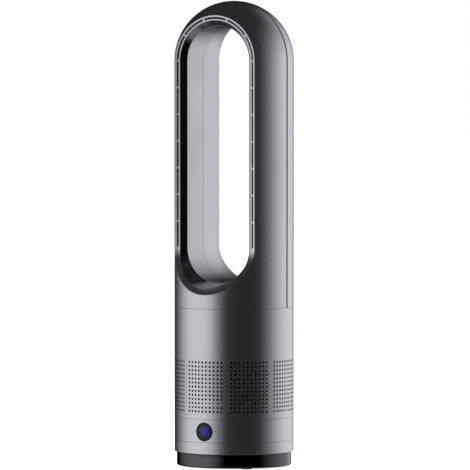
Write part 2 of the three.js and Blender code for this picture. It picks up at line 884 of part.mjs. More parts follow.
// A finned block under the driver board.
function heatSink() {
  const top = driverBoardBottom - seatGap;
  const low = top - heatSinkHeight;
  const [finThickness, finPitch, length] = [1.6, 5, 26];
  const width = finPitch * (heatSinkFins - 1) + finThickness;
  const block = box(-width / 2, -length / 2, top - 3, width / 2, length / 2, top);
  const fins = Array.from({ length: heatSinkFins }, (_, i) => {
    const left = -width / 2 + i * finPitch;
    return box(left, -length / 2, low, left + finThickness, length / 2, top - 2);
  });
  return join(block, ...fins).translate(driverBoardHalf[0] / 2 + 4, -6, 0);
}

// ---------------------------------------------------------------- air path
const inletStep = 17;           // how much narrower the inlet is than the duct
const inletRadius = ductRadius - inletStep;
const flangeOutside = ductRadius + ductFlangeWidth;
const flangeThickness = 3;
const flangeBottom = ductTop - flangeThickness;
const mountRingHeight = 3;
const collarRoom = 2;           // between the duct's wall and the rings round it
const supportThickness = 3.4;
const supportTop = flangeBottom - mountRingHeight - 2 * seatGap;
const shroudBottom = impellerBottom - 3;

// The duct hangs from its top flange. Low down it narrows round the fan wheel.
function impellerDuct() {
  return revolve([
    [inletRadius, shroudBottom],
    [inletRadius + ductWall, shroudBottom],
    [inletRadius + ductWall, impellerBottom],
    [ductRadius, impellerTop],
    [ductRadius, flangeBottom],
    [flangeOutside, flangeBottom],
    [flangeOutside, ductTop],
    [ductInside, ductTop],
    [ductInside, impellerTop],
    [inletRadius, impellerBottom],
  ]);
}

// The inlet under the duct, a ring that opens downward like a trumpet.
function bellmouth() {
  const top = shroudBottom - seatGap;
  const inside = [];
  const outside = [];
  const steps = 3;
  for (let i = 0; i <= steps; i += 1) {
    const angle = (Math.PI / 2) * (i / steps);
    const spread = mouthReach * (1 - Math.cos(angle));
    inside.push([inletRadius + spread, top - mouthReach * Math.sin(angle)]);
    outside.unshift([inletRadius + spread + ductWall, top - mouthReach * Math.sin(angle)]);
  }
  return revolve([...inside, ...outside]);
}

function ductMount() {
  return ring(ductRadius + collarRoom, flangeOutside, supportTop + seatGap, flangeBottom - seatGap);
}

// The shelf inside the intake shell that the duct hangs on.
function ductSupportRing() {
  const outside = shellInside - seatGap;
  return ring(ductRadius + collarRoom, outside, supportTop - supportThickness, supportTop);
}

function ductGasket() {
  return ring(neckRadius, ductRadius + collarRoom, ductTop + seatGap, ductTop + seatGap + gasketHeight);
}

// A blade or vane between two radii that change with height, wound about the axis.
function blade({ bottom, top, inner, outer, sweep, thickness, steps }) {
  const corners = [];
  for (let i = 0; i <= steps; i += 1) {
    const t = i / steps;
    const height = bottom + (top - bottom) * t;
    const angle = THREE.MathUtils.degToRad(sweep) * t;
    for (const [radius, side] of [[inner(t), -1], [outer(t), -1], [outer(t), 1], [inner(t), 1]]) {
      const turn = angle + (side * thickness) / 2 / radius;
      corners.push([radius * Math.cos(turn), radius * Math.sin(turn), height]);
    }
  }
  const index = [0, 2, 1, 0, 3, 2];
  for (let i = 0; i < steps; i += 1) {
    for (let j = 0; j < 4; j += 1) {
      const k = (j + 1) % 4;
      const [a, b] = [4 * i + j, 4 * i + k];
      index.push(a, b, b + 4, a, b + 4, a + 4);
    }
  }
  const last = 4 * steps;
  index.push(last, last + 1, last + 2, last, last + 2, last + 3);
  const geometry = new THREE.BufferGeometry();
  geometry.setAttribute('position', new THREE.Float32BufferAttribute(corners.flat(), 3));
  geometry.setIndex(index);
  return geometry;
}

function repeatRound(makeOne, count) {
  return Array.from({ length: count }, (_, i) => makeOne().rotateZ((2 * Math.PI * i) / count));
}

const mix = (from, to) => (t) => from + (to - from) * t;

// The mixed-flow fan wheel: a conical hub, hollow above, with swept blades.
function impeller() {
  const wall = 3;
  const hub = revolve([
    [shaftRadius + seatGap, impellerBottom],
    [hubBottomRadius, impellerBottom],
    [hubTopRadius, impellerTop],
    [hubTopRadius - wall, impellerTop],
    [hubBottomRadius, impellerBottom + 3 * wall],
    [shaftRadius + seatGap, impellerBottom + 3 * wall],
  ]);
  const blades = repeatRound(() => blade({
    bottom: impellerBottom + 1,
    top: impellerTop - 1,
    inner: mix(hubBottomRadius - 0.5, hubTopRadius - 2),
    outer: mix(inletRadius - tipGap, ductInside - tipGap - 1.5),
    sweep: bladeSweep,
    thickness: bladeThickness,
    steps: 3,
  }), impellerBlades);
  return join(hub, ...blades);
}

const vaneBottom = impellerTop + 3;
const vaneTop = vaneBottom + vaneHeight;
const vaneRingWall = 1.8;

// The guide vanes above the wheel, between a cup that holds the motor and a ring in the duct.
function diffuser() {
  const outside = ductInside - seatGap;
  const outerRing = ring(outside - vaneRingWall, outside, vaneBottom, vaneTop);
  const cup = ring(hubTopRadius - vaneRingWall, hubTopRadius, vaneBottom, vaneTop);
  const vanes = repeatRound(() => blade({
    bottom: vaneBottom + 1,
    top: vaneTop - 1,
    inner: () => hubTopRadius - vaneRingWall / 2,
    outer: () => outside - vaneRingWall / 2,
    sweep: -vaneSweep,
    thickness: vaneThickness,
    steps: 1,
  }), vaneCount);
  return join(join(outerRing, cup), ...vanes);
}

// ---------------------------------------------------------------- fan motor
const bucketRadius = hubTopRadius - vaneRingWall - seatGap;
const bucketWall = 2;
const bucketBottom = vaneBottom;
const bucketRise = 10;          // how far the motor housing rises above the vanes
const bucketTop = vaneTop + bucketRise;
const bearingRadius = 8;
const bearingHeight = 5;
const statorHeight = 18;
const statorRadius = flatOf(bucketRadius - bucketWall) - seatGap;
const rotorRadius = 13;
const airGap = 0.6;
const statorRaise = 10;         // of the stator above the housing's floor
const statorBottom = bucketBottom + statorRaise;
const capHeight = 16;
const upperBearingBottom = bucketTop + seatGap;

// The lower half of the motor housing, a cup with a seat for the lower bearing.
function motorBucket() {
  const seat = bearingRadius + seatGap;
  return revolve([
    [shaftRadius + runGap, bucketBottom],
    [bucketRadius, bucketBottom],
    [bucketRadius, bucketTop],
    [bucketRadius - bucketWall, bucketTop],
    [bucketRadius - bucketWall, bucketBottom + bucketWall],
    [seat + bucketWall, bucketBottom + bucketWall],
    [seat + bucketWall, bucketBottom + bucketWall + bearingHeight],
    [seat, bucketBottom + bucketWall + bearingHeight],
    [seat, bucketBottom + bucketWall],
    [shaftRadius + runGap, bucketBottom + bucketWall],
  ]);
}

// The upper half, a rounded nose with a seat for the upper bearing under its top.
function motorCap() {
  const bottom = bucketTop + seatGap;
  const seat = bearingRadius + seatGap;
  const seatTop = upperBearingBottom + bearingHeight + seatGap;
  return revolve([
    [0, seatTop],
    [seat, seatTop],
    [seat, bottom],
    [seat + bucketWall, bottom],
    [seat + bucketWall, seatTop],
    [0.75 * bucketRadius, seatTop],
    [bucketRadius - bucketWall, bottom],
    [bucketRadius, bottom],
    [0.85 * bucketRadius, bottom + 0.5 * capHeight],
    [0.5 * bucketRadius, bottom + 0.85 * capHeight],
    [0, bottom + capHeight],
  ]);
}

function ballBearing(bottom) {
  return ring(shaftRadius + seatGap, bearingRadius, bottom, bottom + bearingHeight, smallSegments);
}

// The laminated stack with its wound poles, as one outline.
function motorStator() {
  const poles = 6;
  const yoke = circlePoints(statorRadius, 4 * poles, 0, 0, Math.PI / (4 * poles));
  const inside = [];
  const [poleTip, slotRoot] = [rotorRadius + airGap, statorRadius - 4];
  for (let i = 0; i < poles; i += 1) {
    const middle = (2 * Math.PI * i) / poles;
    for (const [radius, angle] of [[slotRoot, -0.3], [poleTip, -0.4], [poleTip, 0.4], [slotRoot, 0.3]]) {
      inside.push([radius * Math.cos(middle + angle), radius * Math.sin(middle + angle)]);
    }
  }
  return plate(yoke, statorBottom, statorBottom + statorHeight, [inside]);
}

function motorRotor() {
  return ring(shaftRadius + seatGap, rotorRadius * Math.cos(0.4) - airGap, statorBottom - 1,
    statorBottom + statorHeight + 1, smallSegments);
}

const nutHeight = 5;

function motorShaft() {
  const bottom = impellerBottom - nutHeight - 2;
  return ring(0, shaftRadius, bottom, upperBearingBottom + bearingHeight, smallSegments);
}

function impellerNut() {
  const top = impellerBottom - seatGap;
  const bore = circlePoints(shaftRadius + seatGap, smallSegments);
  return plate(circlePoints(6, 6), top - nutHeight, top, [bore]);
}

// ---------------------------------------------------------------- assembly
function piece(name, geometry, finish) {
  const mesh = new THREE.Mesh(geometry, finish);
  mesh.name = name;
  return mesh;
}

function base() {
  const group = new THREE.Group();
  group.add(
    piece('base_plinth', basePlinth(), darkTrim),
    piece('base_plate', basePlate(), blackPlastic),
    piece('base_weight', baseWeight(), steel),
    piece('power_jack', powerJack(), blackPlastic),
    piece('pivot_post', pivotPost(), steel),
    piece('fixed_gear', fixedGear(), whitePlastic),
    piece('slide_ring', slideRing(), whitePlastic),
    piece('retaining_ring', retainingRing(), steel),
  );
  footAngles.forEach((angle, i) => {
    const foot = piece(`rubber_foot_${i + 1}`, rubberFoot(), rubber);
    const [x, y] = footPlace(angle);
    foot.position.set(x, y, 0);
    group.add(foot);
  });
  return group;
}

function drive() {
  const pinion = piece('drive_pinion', drivePinion(), whitePlastic);
  pinion.position.set(0, centreDistance, 0);
  return pinion;
}

function lowerTower() {
  const group = new THREE.Group();
  group.add(
    piece('turntable', turntable(), greyPlastic),
    piece('bottom_ring', bottomRing(), gunmetal),
    piece('oscillation_motor', oscillationMotor(), aluminium),
    piece('control_band', controlBand(), gunmetal),
    piece('button_bezel', buttonBezel(), darkTrim),
    piece('control_board', controlBoard(), boardGreen),
    piece('tact_switch', tactSwitch(), blackPlastic),
    piece('status_led', statusLed(), clearPlastic),
    piece('ir_receiver', irReceiver(), blackPlastic),
    piece('driver_board', driverBoard(), boardGreen),
    piece('heat_sink', heatSink(), aluminium),
    piece('partition_plate', partitionPlate(), blackPlastic),
    piece('intake_grille', intakeGrille(), gunmetal),
  );
  return group;
}

function airPath() {
  const group = new THREE.Group();
  group.add(
    piece('bellmouth', bellmouth(), greyPlastic),
    piece('impeller_duct', impellerDuct(), greyPlastic),
    piece('duct_mount', ductMount(), rubber),
    piece('duct_support_ring', ductSupportRing(), greyPlastic),
    piece('duct_gasket', ductGasket(), rubber),
    piece('diffuser', diffuser(), greyPlastic),
    piece('motor_bucket', motorBucket(), blackPlastic),
    piece('motor_cap', motorCap(), blackPlastic),
    piece('motor_stator', motorStator(), copper),
    piece('lower_bearing', ballBearing(bucketBottom + bucketWall + seatGap), steel),
    piece('upper_bearing', ballBearing(upperBearingBottom), steel),
  );
  return group;
}

function head() {
  const group = new THREE.Group();
  group.add(
    piece('head_collar', headCollar(), greyPlastic),
    piece('head_front_shell', headFrontShell(), gunmetal),
    piece('head_rear_shell', headRearShell(), gunmetal),
    piece('seam_strip', seamStrip(), darkTrim),
    piece('rear_liner', rearLiner(), gunmetal),
  );
  for (const [place, length] of lengthsOf(outletBezel())) {
    group.add(piece(`outlet_bezel_${place}`, length, gunmetal));
  }
  for (const [place, length] of lengthsOf(frontLiner())) {
    group.add(piece(`front_liner_${place}`, length, gunmetal));
  }
  return group;
}

function powerButton() {
  const group = new THREE.Group();
  group.add(
    piece('button_lens', buttonLens(), blackGloss),
    piece('button_light_guide', buttonLightGuide(), clearPlastic),
  );
  return group;
}

function fanWheel() {
  const group = new THREE.Group();
  group.add(
    piece('impeller', impeller(), greyPlastic),
    piece('motor_shaft', motorShaft(), steel),
    piece('motor_rotor', motorRotor(), steel),
    piece('impeller_nut', impellerNut(), steel),
  );
  return group;
}

const fan = new THREE.Group();
fan.add(base(), drive(), lowerTower(), airPath(), head(), powerButton(), fanWheel());

export default fan;
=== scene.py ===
"""Looks of the bladeless tower fan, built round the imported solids. Shapes are written in millimetres."""
import math

import bmesh
import bpy
from mathutils import Matrix, Vector


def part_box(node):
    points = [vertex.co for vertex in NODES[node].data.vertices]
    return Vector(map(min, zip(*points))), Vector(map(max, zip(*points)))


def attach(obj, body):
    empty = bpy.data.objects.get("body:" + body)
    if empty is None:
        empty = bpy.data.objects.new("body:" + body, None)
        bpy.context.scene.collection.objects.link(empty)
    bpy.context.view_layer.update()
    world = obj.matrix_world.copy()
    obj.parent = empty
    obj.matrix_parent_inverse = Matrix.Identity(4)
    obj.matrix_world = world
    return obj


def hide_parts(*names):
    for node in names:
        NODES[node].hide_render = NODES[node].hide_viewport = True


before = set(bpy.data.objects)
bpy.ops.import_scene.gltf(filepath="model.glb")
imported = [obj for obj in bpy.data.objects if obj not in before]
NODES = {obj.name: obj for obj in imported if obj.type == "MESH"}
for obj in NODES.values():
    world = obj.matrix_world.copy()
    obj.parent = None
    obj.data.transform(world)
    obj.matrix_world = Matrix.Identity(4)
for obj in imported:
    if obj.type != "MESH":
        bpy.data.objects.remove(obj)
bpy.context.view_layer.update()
MM = 0.001


# ------------------------------------------------------------------ sizes read from the frame
def low(node, axis):
    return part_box(node)[0][axis] / MM


def high(node, axis):
    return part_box(node)[1][axis] / MM


X, Y, Z = 0, 1, 2
COLUMN_R = high("bottom_ring", X)
TOP = high("head_front_shell", Z)
DOME_Z = TOP - COLUMN_R
SEAM_REACH = 0.2           # the lacquer narrows each seam between the shells by this much on each side
SEAM = low("head_front_shell", Z) - high("intake_grille", Z)
HEAD_BOTTOM = low("head_front_shell", Z) - SEAM_REACH
GRILLE_BOTTOM = low("intake_grille", Z) - SEAM_REACH
GRILLE_TOP = high("intake_grille", Z) + SEAM_REACH
BAND_BOTTOM = high("bottom_ring", Z) + SEAM - SEAM_REACH
BAND_TOP = low("intake_grille", Z) - SEAM + SEAM_REACH
RING_BOTTOM = low("bottom_ring", Z)
RING_TOP = high("bottom_ring", Z) + SEAM_REACH
PLINTH_R = high("base_plinth", X)
PLINTH_BOTTOM = low("base_plinth", Z)
PLINTH_TOP = high("base_plinth", Z)
RIM_R = high("outlet_bezel_right", X)
LOW_Z = low("outlet_bezel_bottom", Z) + RIM_R
THROAT_FRONT = high("outlet_bezel_right", Y)
WAIST_Y = high("front_liner_right", Y)
REAR_START = low("rear_liner", Y)
REAR_RIM = high("rear_liner", X)
GROOVE_FRONT = high("head_front_shell", Y)
GROOVE_BACK = low("head_rear_shell", Y)
LENS_R = high("button_lens", X)
LENS_Z = (high("button_lens", Z) + low("button_lens", Z)) / 2
POCKET_Z = (high("power_jack", Z) + low("power_jack", Z)) / 2
POCKET_BACK = high("power_jack", Y)

# ------------------------------------------------------------------ sizes of the looks
SKIN = 2.6                 # wall of the outer mouldings
LINER_WALL = 2.4
PLUG_GAP = 0.15            # room between the head's shells and the rims set into them
GROOVE_DEPTH = 1.6         # how far the dark strip lies below the shells
BAND_INNER = 54.2          # half width of the band's inner edge
BAND_SINK = 1.1
LOW_LEAN = 1.9             # how much deeper the band's inner edge lies at the lowest point
THROAT_R = 47.6
WAIST_R = 47.4
REAR_WAIST = 48.0
SLOT_R = 57.4
SLOT_WIDTH = 2.0
SLOT_DEPTH = 6.0           # length of the slot's walls
SLOT_BRIDGE = 2.3
LIP = 0.35                 # rounding of the band's edges
SIDE_SLOTS = 7
ARCH_SLOTS = 5
SEAM_EDGE = 0.12           # small rounding where two shells meet
LINER_EDGE = 0.5           # rounding of the two linings where they meet at the waist
POCKET_HALF = 8.0          # half width of the pocket behind the plinth
POCKET_RISE = 5.0          # half height of it
PLINTH_CORNER = 2.4
PLINTH_INSIDE = 20.0       # radius of the hole in the plinth's top
PLINTH_SKIRT = 5.4         # height at which the plinth's inner wall starts
SCREW_CIRCLE = 55.0        # distance of the case screws from the axis
LENS_GROWTH = 0.35         # how much wider the drawn lens is than its solid
LENS_CROWN = 1.5
LENS_EDGE = 0.35           # how far the lens drops at its very edge
LENS_SIDE = 3              # how deep its side wall reaches
LENS_GAP = 0.1             # between the drawn lens and the hole in the shell
COLLAR_WALL = 1.1          # the collar round the lens, measured from the solid lens
COLLAR_GAP = 0.12
GLOW_FULL = 1.0            # radius within which the lens glows in full
GLOW_REACH = 10.5          # radius at which the glow has faded out

PATCHES = 8
HOLE_COLUMNS = 10
HOLE_ROWS = 13
HOLE_TURN = 4.0            # degrees between columns
HOLE_PITCH = 5.46
FIRST_HOLE_Z = 77.3
HOLE_R = 1.62
HOLE_SIDES = 8

ROUND = 240                # facets of the large round surfaces
ARC = 72                   # facets of each half circle of the opening
BAR = 96                   # facets of the lens and of the round cutters
DOME_RINGS = 48
SIDE_RINGS = 24            # steps up the straight side of the head


# ------------------------------------------------------------------ helpers
def smooth(value, start, end):
    """Runs smoothly from 0 at start to 1 at end."""
    t = min(1.0, max(0.0, (value - start) / (end - start)))
    return t * t * (3 - 2 * t)


def link_new(name, data):
    """An object in the scene that holds this data."""
    obj = bpy.data.objects.new(name, data)
    bpy.context.scene.collection.objects.link(obj)
    return obj


def new_object(name, verts, faces):
    """A mesh object from corners in millimetres."""
    mesh = bpy.data.meshes.new(name)
    mesh.from_pydata([Vector(v) * MM for v in verts], [], faces)
    mesh.validate()
    return link_new(name, mesh)


def face_outward(obj):
    bm = bmesh.new()
    bm.from_mesh(obj.data)
    bmesh.ops.recalc_face_normals(bm, faces=bm.faces)
    bm.to_mesh(obj.data)
    bm.free()


def shade(obj, angle=32):
    """Smooth shading, with edges sharper than the angle left crisp."""
    obj.data.shade_smooth()
    obj.data.set_sharp_from_angle(angle=math.radians(angle))


def shade_as_column(obj, tolerance=0.97):
    """Gives faces that lie on the domed column its exact normals, so that reflections run smoothly."""
    mesh = obj.data
    mesh.shade_smooth()
    normals = [None] * len(mesh.loops)
    for poly in mesh.polygons:
        flat = poly.normal
        for index in poly.loop_indices:
            point = mesh.vertices[mesh.loops[index].vertex_index].co
            rise = max(0.0, point.z - DOME_Z * MM)
            exact = Vector((point.x, point.y, rise)).normalized()
            agreement = exact.dot(flat)
            if agreement > tolerance:
                normals[index] = exact
            elif agreement < -tolerance:
                normals[index] = -exact
            else:
                normals[index] = flat.copy()
    mesh.normals_split_custom_set(normals)


def lathe(name, profile, segments=ROUND):
    """Turns a closed profile of (radius, height) about Z. A radius of 0 is a point on the axis."""
    verts = []
    rings = []
    for radius, height in profile:
        if radius == 0:
            rings.append([len(verts)])
            verts.append((0, 0, height))
            continue
        rings.append(list(range(len(verts), len(verts) + segments)))
        for i in range(segments):
            angle = 2 * math.pi * i / segments
            verts.append((radius * math.sin(angle), -radius * math.cos(angle), height))
    faces = []
    for a, b in zip(rings, rings[1:] + rings[:1]):
        for i in range(segments):
            j = (i + 1) % segments
            if len(a) > 1 and len(b) > 1:
                faces.append((a[i], a[j], b[j], b[i]))
            elif len(a) > 1:
                faces.append((a[i], a[j], b[0]))
            elif len(b) > 1:
                faces.append((a[0], b[j], b[i]))
    obj = new_object(name, verts, faces)
    face_outward(obj)
    return obj


def boolean(obj, cutter, operation="DIFFERENCE"):
    """Cuts obj with cutter, keeps the result as plain mesh and removes the cutter."""
    modifier = obj.modifiers.new("cut", "BOOLEAN")
    modifier.operation = operation
    modifier.solver = "EXACT"
    modifier.object = cutter
    bpy.context.view_layer.update()
    evaluated = obj.evaluated_get(bpy.context.evaluated_depsgraph_get())
    mesh = bpy.data.meshes.new_from_object(evaluated)
    obj.modifiers.clear()
    old = obj.data
    obj.data = mesh
    bpy.data.meshes.remove(old)
    bpy.data.objects.remove(cutter)
    return obj


def block(name, lowest, highest):
    """A box between two corners."""
    bm = bmesh.new()
    bmesh.ops.create_cube(bm, size=1.0)
    size = [(b - a) * MM for a, b in zip(lowest, highest)]
    middle = [(a + b) / 2 * MM for a, b in zip(lowest, highest)]
    bmesh.ops.scale(bm, vec=size, verts=bm.verts)
    bmesh.ops.translate(bm, vec=middle, verts=bm.verts)
    mesh = bpy.data.meshes.new(name)
    bm.to_mesh(mesh)
    bm.free()
    return link_new(name, mesh)


def bar_along_y(name, radius, front, back, height, segments=BAR):
    """A round bar from front to back, with its axis at this height."""
    verts = []
    for depth in (front, back):
        for i in range(segments):
            angle = 2 * math.pi * i / segments
            verts.append((radius * math.cos(angle), depth, height + radius * math.sin(angle)))
    faces = [tuple(range(segments)), tuple(range(2 * segments - 1, segments - 1, -1))]
    for i in range(segments):
        j = (i + 1) % segments
        faces.append((i, i + segments, j + segments, j))
    obj = new_object(name, verts, faces)
    face_outward(obj)
    return obj


# ------------------------------------------------------------------ the opening's stadium path
def station(centre, angle, on_dome):
    """A place on the stadium path: the height of its centre and its outward direction."""
    return {"centre": centre, "angle": angle, "on_dome": on_dome}


def side_heights():
    """Heights along a straight side, with a pair of stations at each slot's ends."""
    pitch = (DOME_Z - LOW_Z) / SIDE_SLOTS
    heights = []
    for i in range(SIDE_SLOTS):
        start = LOW_Z + i * pitch + SLOT_BRIDGE / 2
        heights += [start, start + pitch - SLOT_BRIDGE]
    return heights


def stations():
    path = []
    for i in range(ARC + 1):
        path.append(station(DOME_Z, math.pi * i / ARC, True))
    for height in reversed(side_heights()):
        path.append(station(height, math.pi, False))
    for i in range(ARC + 1):
        path.append(station(LOW_Z, math.pi + math.pi * i / ARC, False))
    for height in side_heights():
        path.append(station(height, 2 * math.pi, False))
    return path


def surface_depth(distance, place):
    """How far in front of or behind the axis the outer surface lies at this place."""
    across = distance if place["on_dome"] else distance * math.cos(place["angle"])
    return math.sqrt(max(0.0, COLUMN_R ** 2 - across ** 2))


def place_point(place, distance, depth):
    return (
        distance * math.cos(place["angle"]),
        depth,
        place["centre"] + distance * math.sin(place["angle"]),
    )


def sweep(name, section, path=None):
    """Sweeps a closed section, a list of (distance, depth) for each station, round the path."""
    closed = path is None
    path = stations() if closed else path
    verts = []
    for place in path:
        verts += [place_point(place, w, y) for w, y in section(place)]
    count = len(verts) // len(path)
    faces = []
    for i in range(len(path) if closed else len(path) - 1):
        a, b = i * count, ((i + 1) % len(path)) * count
        for j in range(count):
            k = (j + 1) % count
            faces.append((a + j, a + k, b + k, b + j))
    if not closed:
        last = (len(path) - 1) * count
        faces.append(tuple(range(count - 1, -1, -1)))
        faces.append(tuple(range(last, last + count)))
    obj = new_object(name, verts, faces)
    face_outward(obj)
    return obj


def stadium_plug(name, distance, front, back):
    """A solid of the opening's outline, from front to back, that cuts it out of a shell."""
    path = stations()
    verts = []
    for depth in (front, back):
        verts += [place_point(place, distance, depth) for place in path]
    count = len(path)
    faces = [tuple(range(count)), tuple(range(2 * count - 1, count - 1, -1))]
    for i in range(count):
        j = (i + 1) % count
        faces.append((i, i + count, j + count, j))
    obj = new_object(name, verts, faces)
    face_outward(obj)
    return obj


# ------------------------------------------------------------------ head
def domed_profile(radius, bottom, edge=0.0):
    """Outline of the column with its round top, from the lower edge up to the axis."""
    points = [(radius - edge, bottom), (radius, bottom + edge)] if edge else [(radius, bottom)]
    for i in range(1, SIDE_RINGS):
        points.append((radius, bottom + edge + (DOME_Z - bottom - edge) * i / SIDE_RINGS))
    for i in range(DOME_RINGS):
        angle = (math.pi / 2) * i / DOME_RINGS
        points.append((radius * math.cos(angle), DOME_Z + radius * math.sin(angle)))
    points.append((0, DOME_Z + radius))
    return points


def head_half(name, plug_r, front, back):
    """One half of the head's outer shell, between two depths."""
    inside = COLUMN_R - SKIN
    outer = domed_profile(COLUMN_R, HEAD_BOTTOM, SEAM_EDGE)
    inner = domed_profile(inside, HEAD_BOTTOM)
    shell = lathe(name, outer + inner[::-1])
    reach = 3 * COLUMN_R
    boolean(shell, block("slab", (-reach, front, -reach), (reach, back, 2 * TOP)), "INTERSECT")
    is_front = back < COLUMN_R / 2
    plug_front, plug_back = (-reach, GROOVE_FRONT + 1) if is_front else (GROOVE_BACK - 1, reach)
    boolean(shell, stadium_plug("plug", plug_r, plug_front, plug_back))
    shade_as_column(shell)
    return shell


def head_front_skin():
    return head_half("head_front_skin", RIM_R + PLUG_GAP, -2 * COLUMN_R, GROOVE_FRONT)


def head_rear_skin():
    return head_half("head_rear_skin", REAR_RIM + PLUG_GAP, GROOVE_BACK, 2 * COLUMN_R)


def groove_strip():
    """The dark strip that lies sunk between the two halves."""
    sunk = COLUMN_R - GROOVE_DEPTH
    inside = COLUMN_R - SKIN
    outer = domed_profile(sunk, HEAD_BOTTOM)
    inner = domed_profile(inside, HEAD_BOTTOM)
    strip = lathe("groove_strip", outer + inner[::-1])
    reach = 3 * COLUMN_R
    front, back = GROOVE_FRONT + 0.05, GROOVE_BACK - 0.05
    boolean(strip, block("slab", (-reach, front, -reach), (reach, back, 2 * TOP)), "INTERSECT")
    shade_as_column(strip)
    return strip


def band_line(place):
    """Front depth of the band's outer and inner edge. Round the low arc the band leans back more."""
    outer = -surface_depth(RIM_R, place)
    lean = 0.0 if place["on_dome"] else max(0.0, -math.sin(place["angle"]))
    return outer, outer + BAND_SINK + LOW_LEAN * lean


def band_depth(place, w):
    outer, inner = band_line(place)
    share = (RIM_R - w) / (RIM_R - BAND_INNER)
    return outer + (inner - outer) * share


def lip_at(place):
    """The edges' rounding, which all but vanishes on the low arc, where the band has no slot."""
    if place["on_dome"]:
        return LIP
    under = max(0.0, -math.sin(place["angle"]))
    return LIP * (1 - 0.92 * smooth(under, 0.0, 0.25))


def outer_band_section(place):
    slot = SLOT_R + SLOT_WIDTH / 2
    lip = lip_at(place)
    return [
        (RIM_R, band_depth(place, RIM_R) + lip),
        (RIM_R - lip * 0.3, band_depth(place, RIM_R) + lip * 0.3),
        (RIM_R - lip, band_depth(place, RIM_R - lip)),
        (slot + lip, band_depth(place, slot + lip)),
        (slot + lip * 0.3, band_depth(place, slot) + lip * 0.3),
        (slot, band_depth(place, slot) + lip),
        (slot, band_depth(place, slot) + SLOT_DEPTH),
        (slot + 1.2, band_depth(place, slot) + SLOT_DEPTH),
        (RIM_R, band_depth(place, RIM_R) + 3),
    ]


def inner_band_section(place):
    """The band inside the slot, and the chamfer that runs back from it into the throat."""
    slot = SLOT_R - SLOT_WIDTH / 2
    outer, inner = band_line(place)
    lip = lip_at(place)
    run = Vector((THROAT_R - BAND_INNER, THROAT_FRONT - inner))
    step = run.normalized() * LIP
    return [
        (slot, band_depth(place, slot) + SLOT_DEPTH),
        (slot, band_depth(place, slot) + lip),
        (slot - lip * 0.3, band_depth(place, slot) + lip * 0.3),
        (slot - lip, band_depth(place, slot - lip)),
        (BAND_INNER + LIP, band_depth(place, BAND_INNER + LIP)),
        (BAND_INNER + step.x * 0.2, inner + step.y * 0.2),
        (BAND_INNER + step.x, inner + step.y),
        (THROAT_R, THROAT_FRONT),
        (THROAT_R + LINER_WALL, THROAT_FRONT),
        (slot - 1.4, band_depth(place, slot) + SLOT_DEPTH),
    ]


def bridge(name, places):
    """A small bar across the slot between two neighbouring places on the path."""
    near, far = SLOT_R - SLOT_WIDTH / 2 - 0.4, SLOT_R + SLOT_WIDTH / 2 + 0.4

    def section(place):
        front, outer_front = band_depth(place, near) + 0.02, band_depth(place, far) + 0.02
        return [(near, front), (near, front + 4), (far, outer_front + 4), (far, outer_front)]

    return sweep(name, section, places)


def bridges():
    """All the bars: between the slots of each side, between those of the arch, and the plain low arc."""
    parts = []
    pitch = (DOME_Z - LOW_Z) / SIDE_SLOTS
    half = SLOT_BRIDGE / 2
    for angle in (0.0, math.pi):
        for i in range(1, SIDE_SLOTS):
            height = LOW_Z + i * pitch
            ends = (height - half, height + half)
            parts.append(bridge("bridge", [station(z, angle, False) for z in ends]))
    half_turn = half / SLOT_R
    for i in range(ARCH_SLOTS + 1):
        angle = math.pi * i / ARCH_SLOTS
        turns = (angle - half_turn, angle + half_turn)
        parts.append(bridge("bridge", [station(DOME_Z, turn, True) for turn in turns]))
    low_arc = [station(LOW_Z + half, math.pi, False)]
    low_arc += [station(LOW_Z, math.pi + math.pi * i / ARC, False) for i in range(ARC + 1)]
    low_arc += [station(LOW_Z + half, 2 * math.pi, False)]
    parts.append(bridge("bridge", low_arc))
    return parts


def join_objects(name, parts):
    bm = bmesh.new()
    for part in parts:
        bm.from_mesh(part.data)
    mesh = bpy.data.meshes.new(name)
    bm.to_mesh(mesh)
    bm.free()
    for part in parts:
        bpy.data.objects.remove(part)
    return link_new(name, mesh)


def chamfer_side(side):
    """Whether a face lies on the polished chamfer, which runs from the band's inner edge to the throat.
    These faces take a darker copy of the lacquer, a painted shade.
    """
    x, y, z = side.center / MM
    height = z - min(max(z, LOW_Z), DOME_Z)
    return math.hypot(x, height) < BAND_INNER - 0.05 and side.normal.y < -0.2


def outlet_band():
    parts = [sweep("outer", outer_band_section), sweep("inner", inner_band_section)]
    band = join_objects("outlet_band", parts + bridges())
    shade(band, 40)
    for side in band.data.polygons:
        # faces of the chamfer get the second finish, the darker lacquer that paints their shade
        side.material_index = 1 if chamfer_side(side) else 0
    return band


def front_throat():
    """The inner wall from the chamfer back to the waist."""
    front = THROAT_FRONT + 0.05
    edge = LINER_EDGE

    def section(place):
        return [
            (THROAT_R, front),
            (THROAT_R + LINER_WALL, front),
            (WAIST_R + LINER_WALL, WAIST_Y),
            (WAIST_R + edge, WAIST_Y),
            (WAIST_R, WAIST_Y - edge),
        ]

    throat = sweep("front_throat", section)
    shade(throat, 30)
    return throat


def rear_throat():
    """The inner wall from the waist, opening out to the rear rim."""
    steps = 14
    edge = LINER_EDGE

    def section(place):
        end = surface_depth(REAR_RIM, place)

        def point(t, out=0.0):
            width = REAR_WAIST + (REAR_RIM - REAR_WAIST) * t * t
            return (width + out, REAR_START + (end - REAR_START) * t)

        inner = [point(i / steps) for i in range(steps + 1)]
        inner[0] = (REAR_WAIST, REAR_START + edge)
        lead = [(REAR_WAIST + edge, REAR_START)]
        back = [(REAR_RIM, end - 4.4)] + [point(t, LINER_WALL) for t in (0.8, 0.4, 0)]
        return lead + inner + back

    throat = sweep("rear_throat", section)
    shade(throat, 30)
    return throat


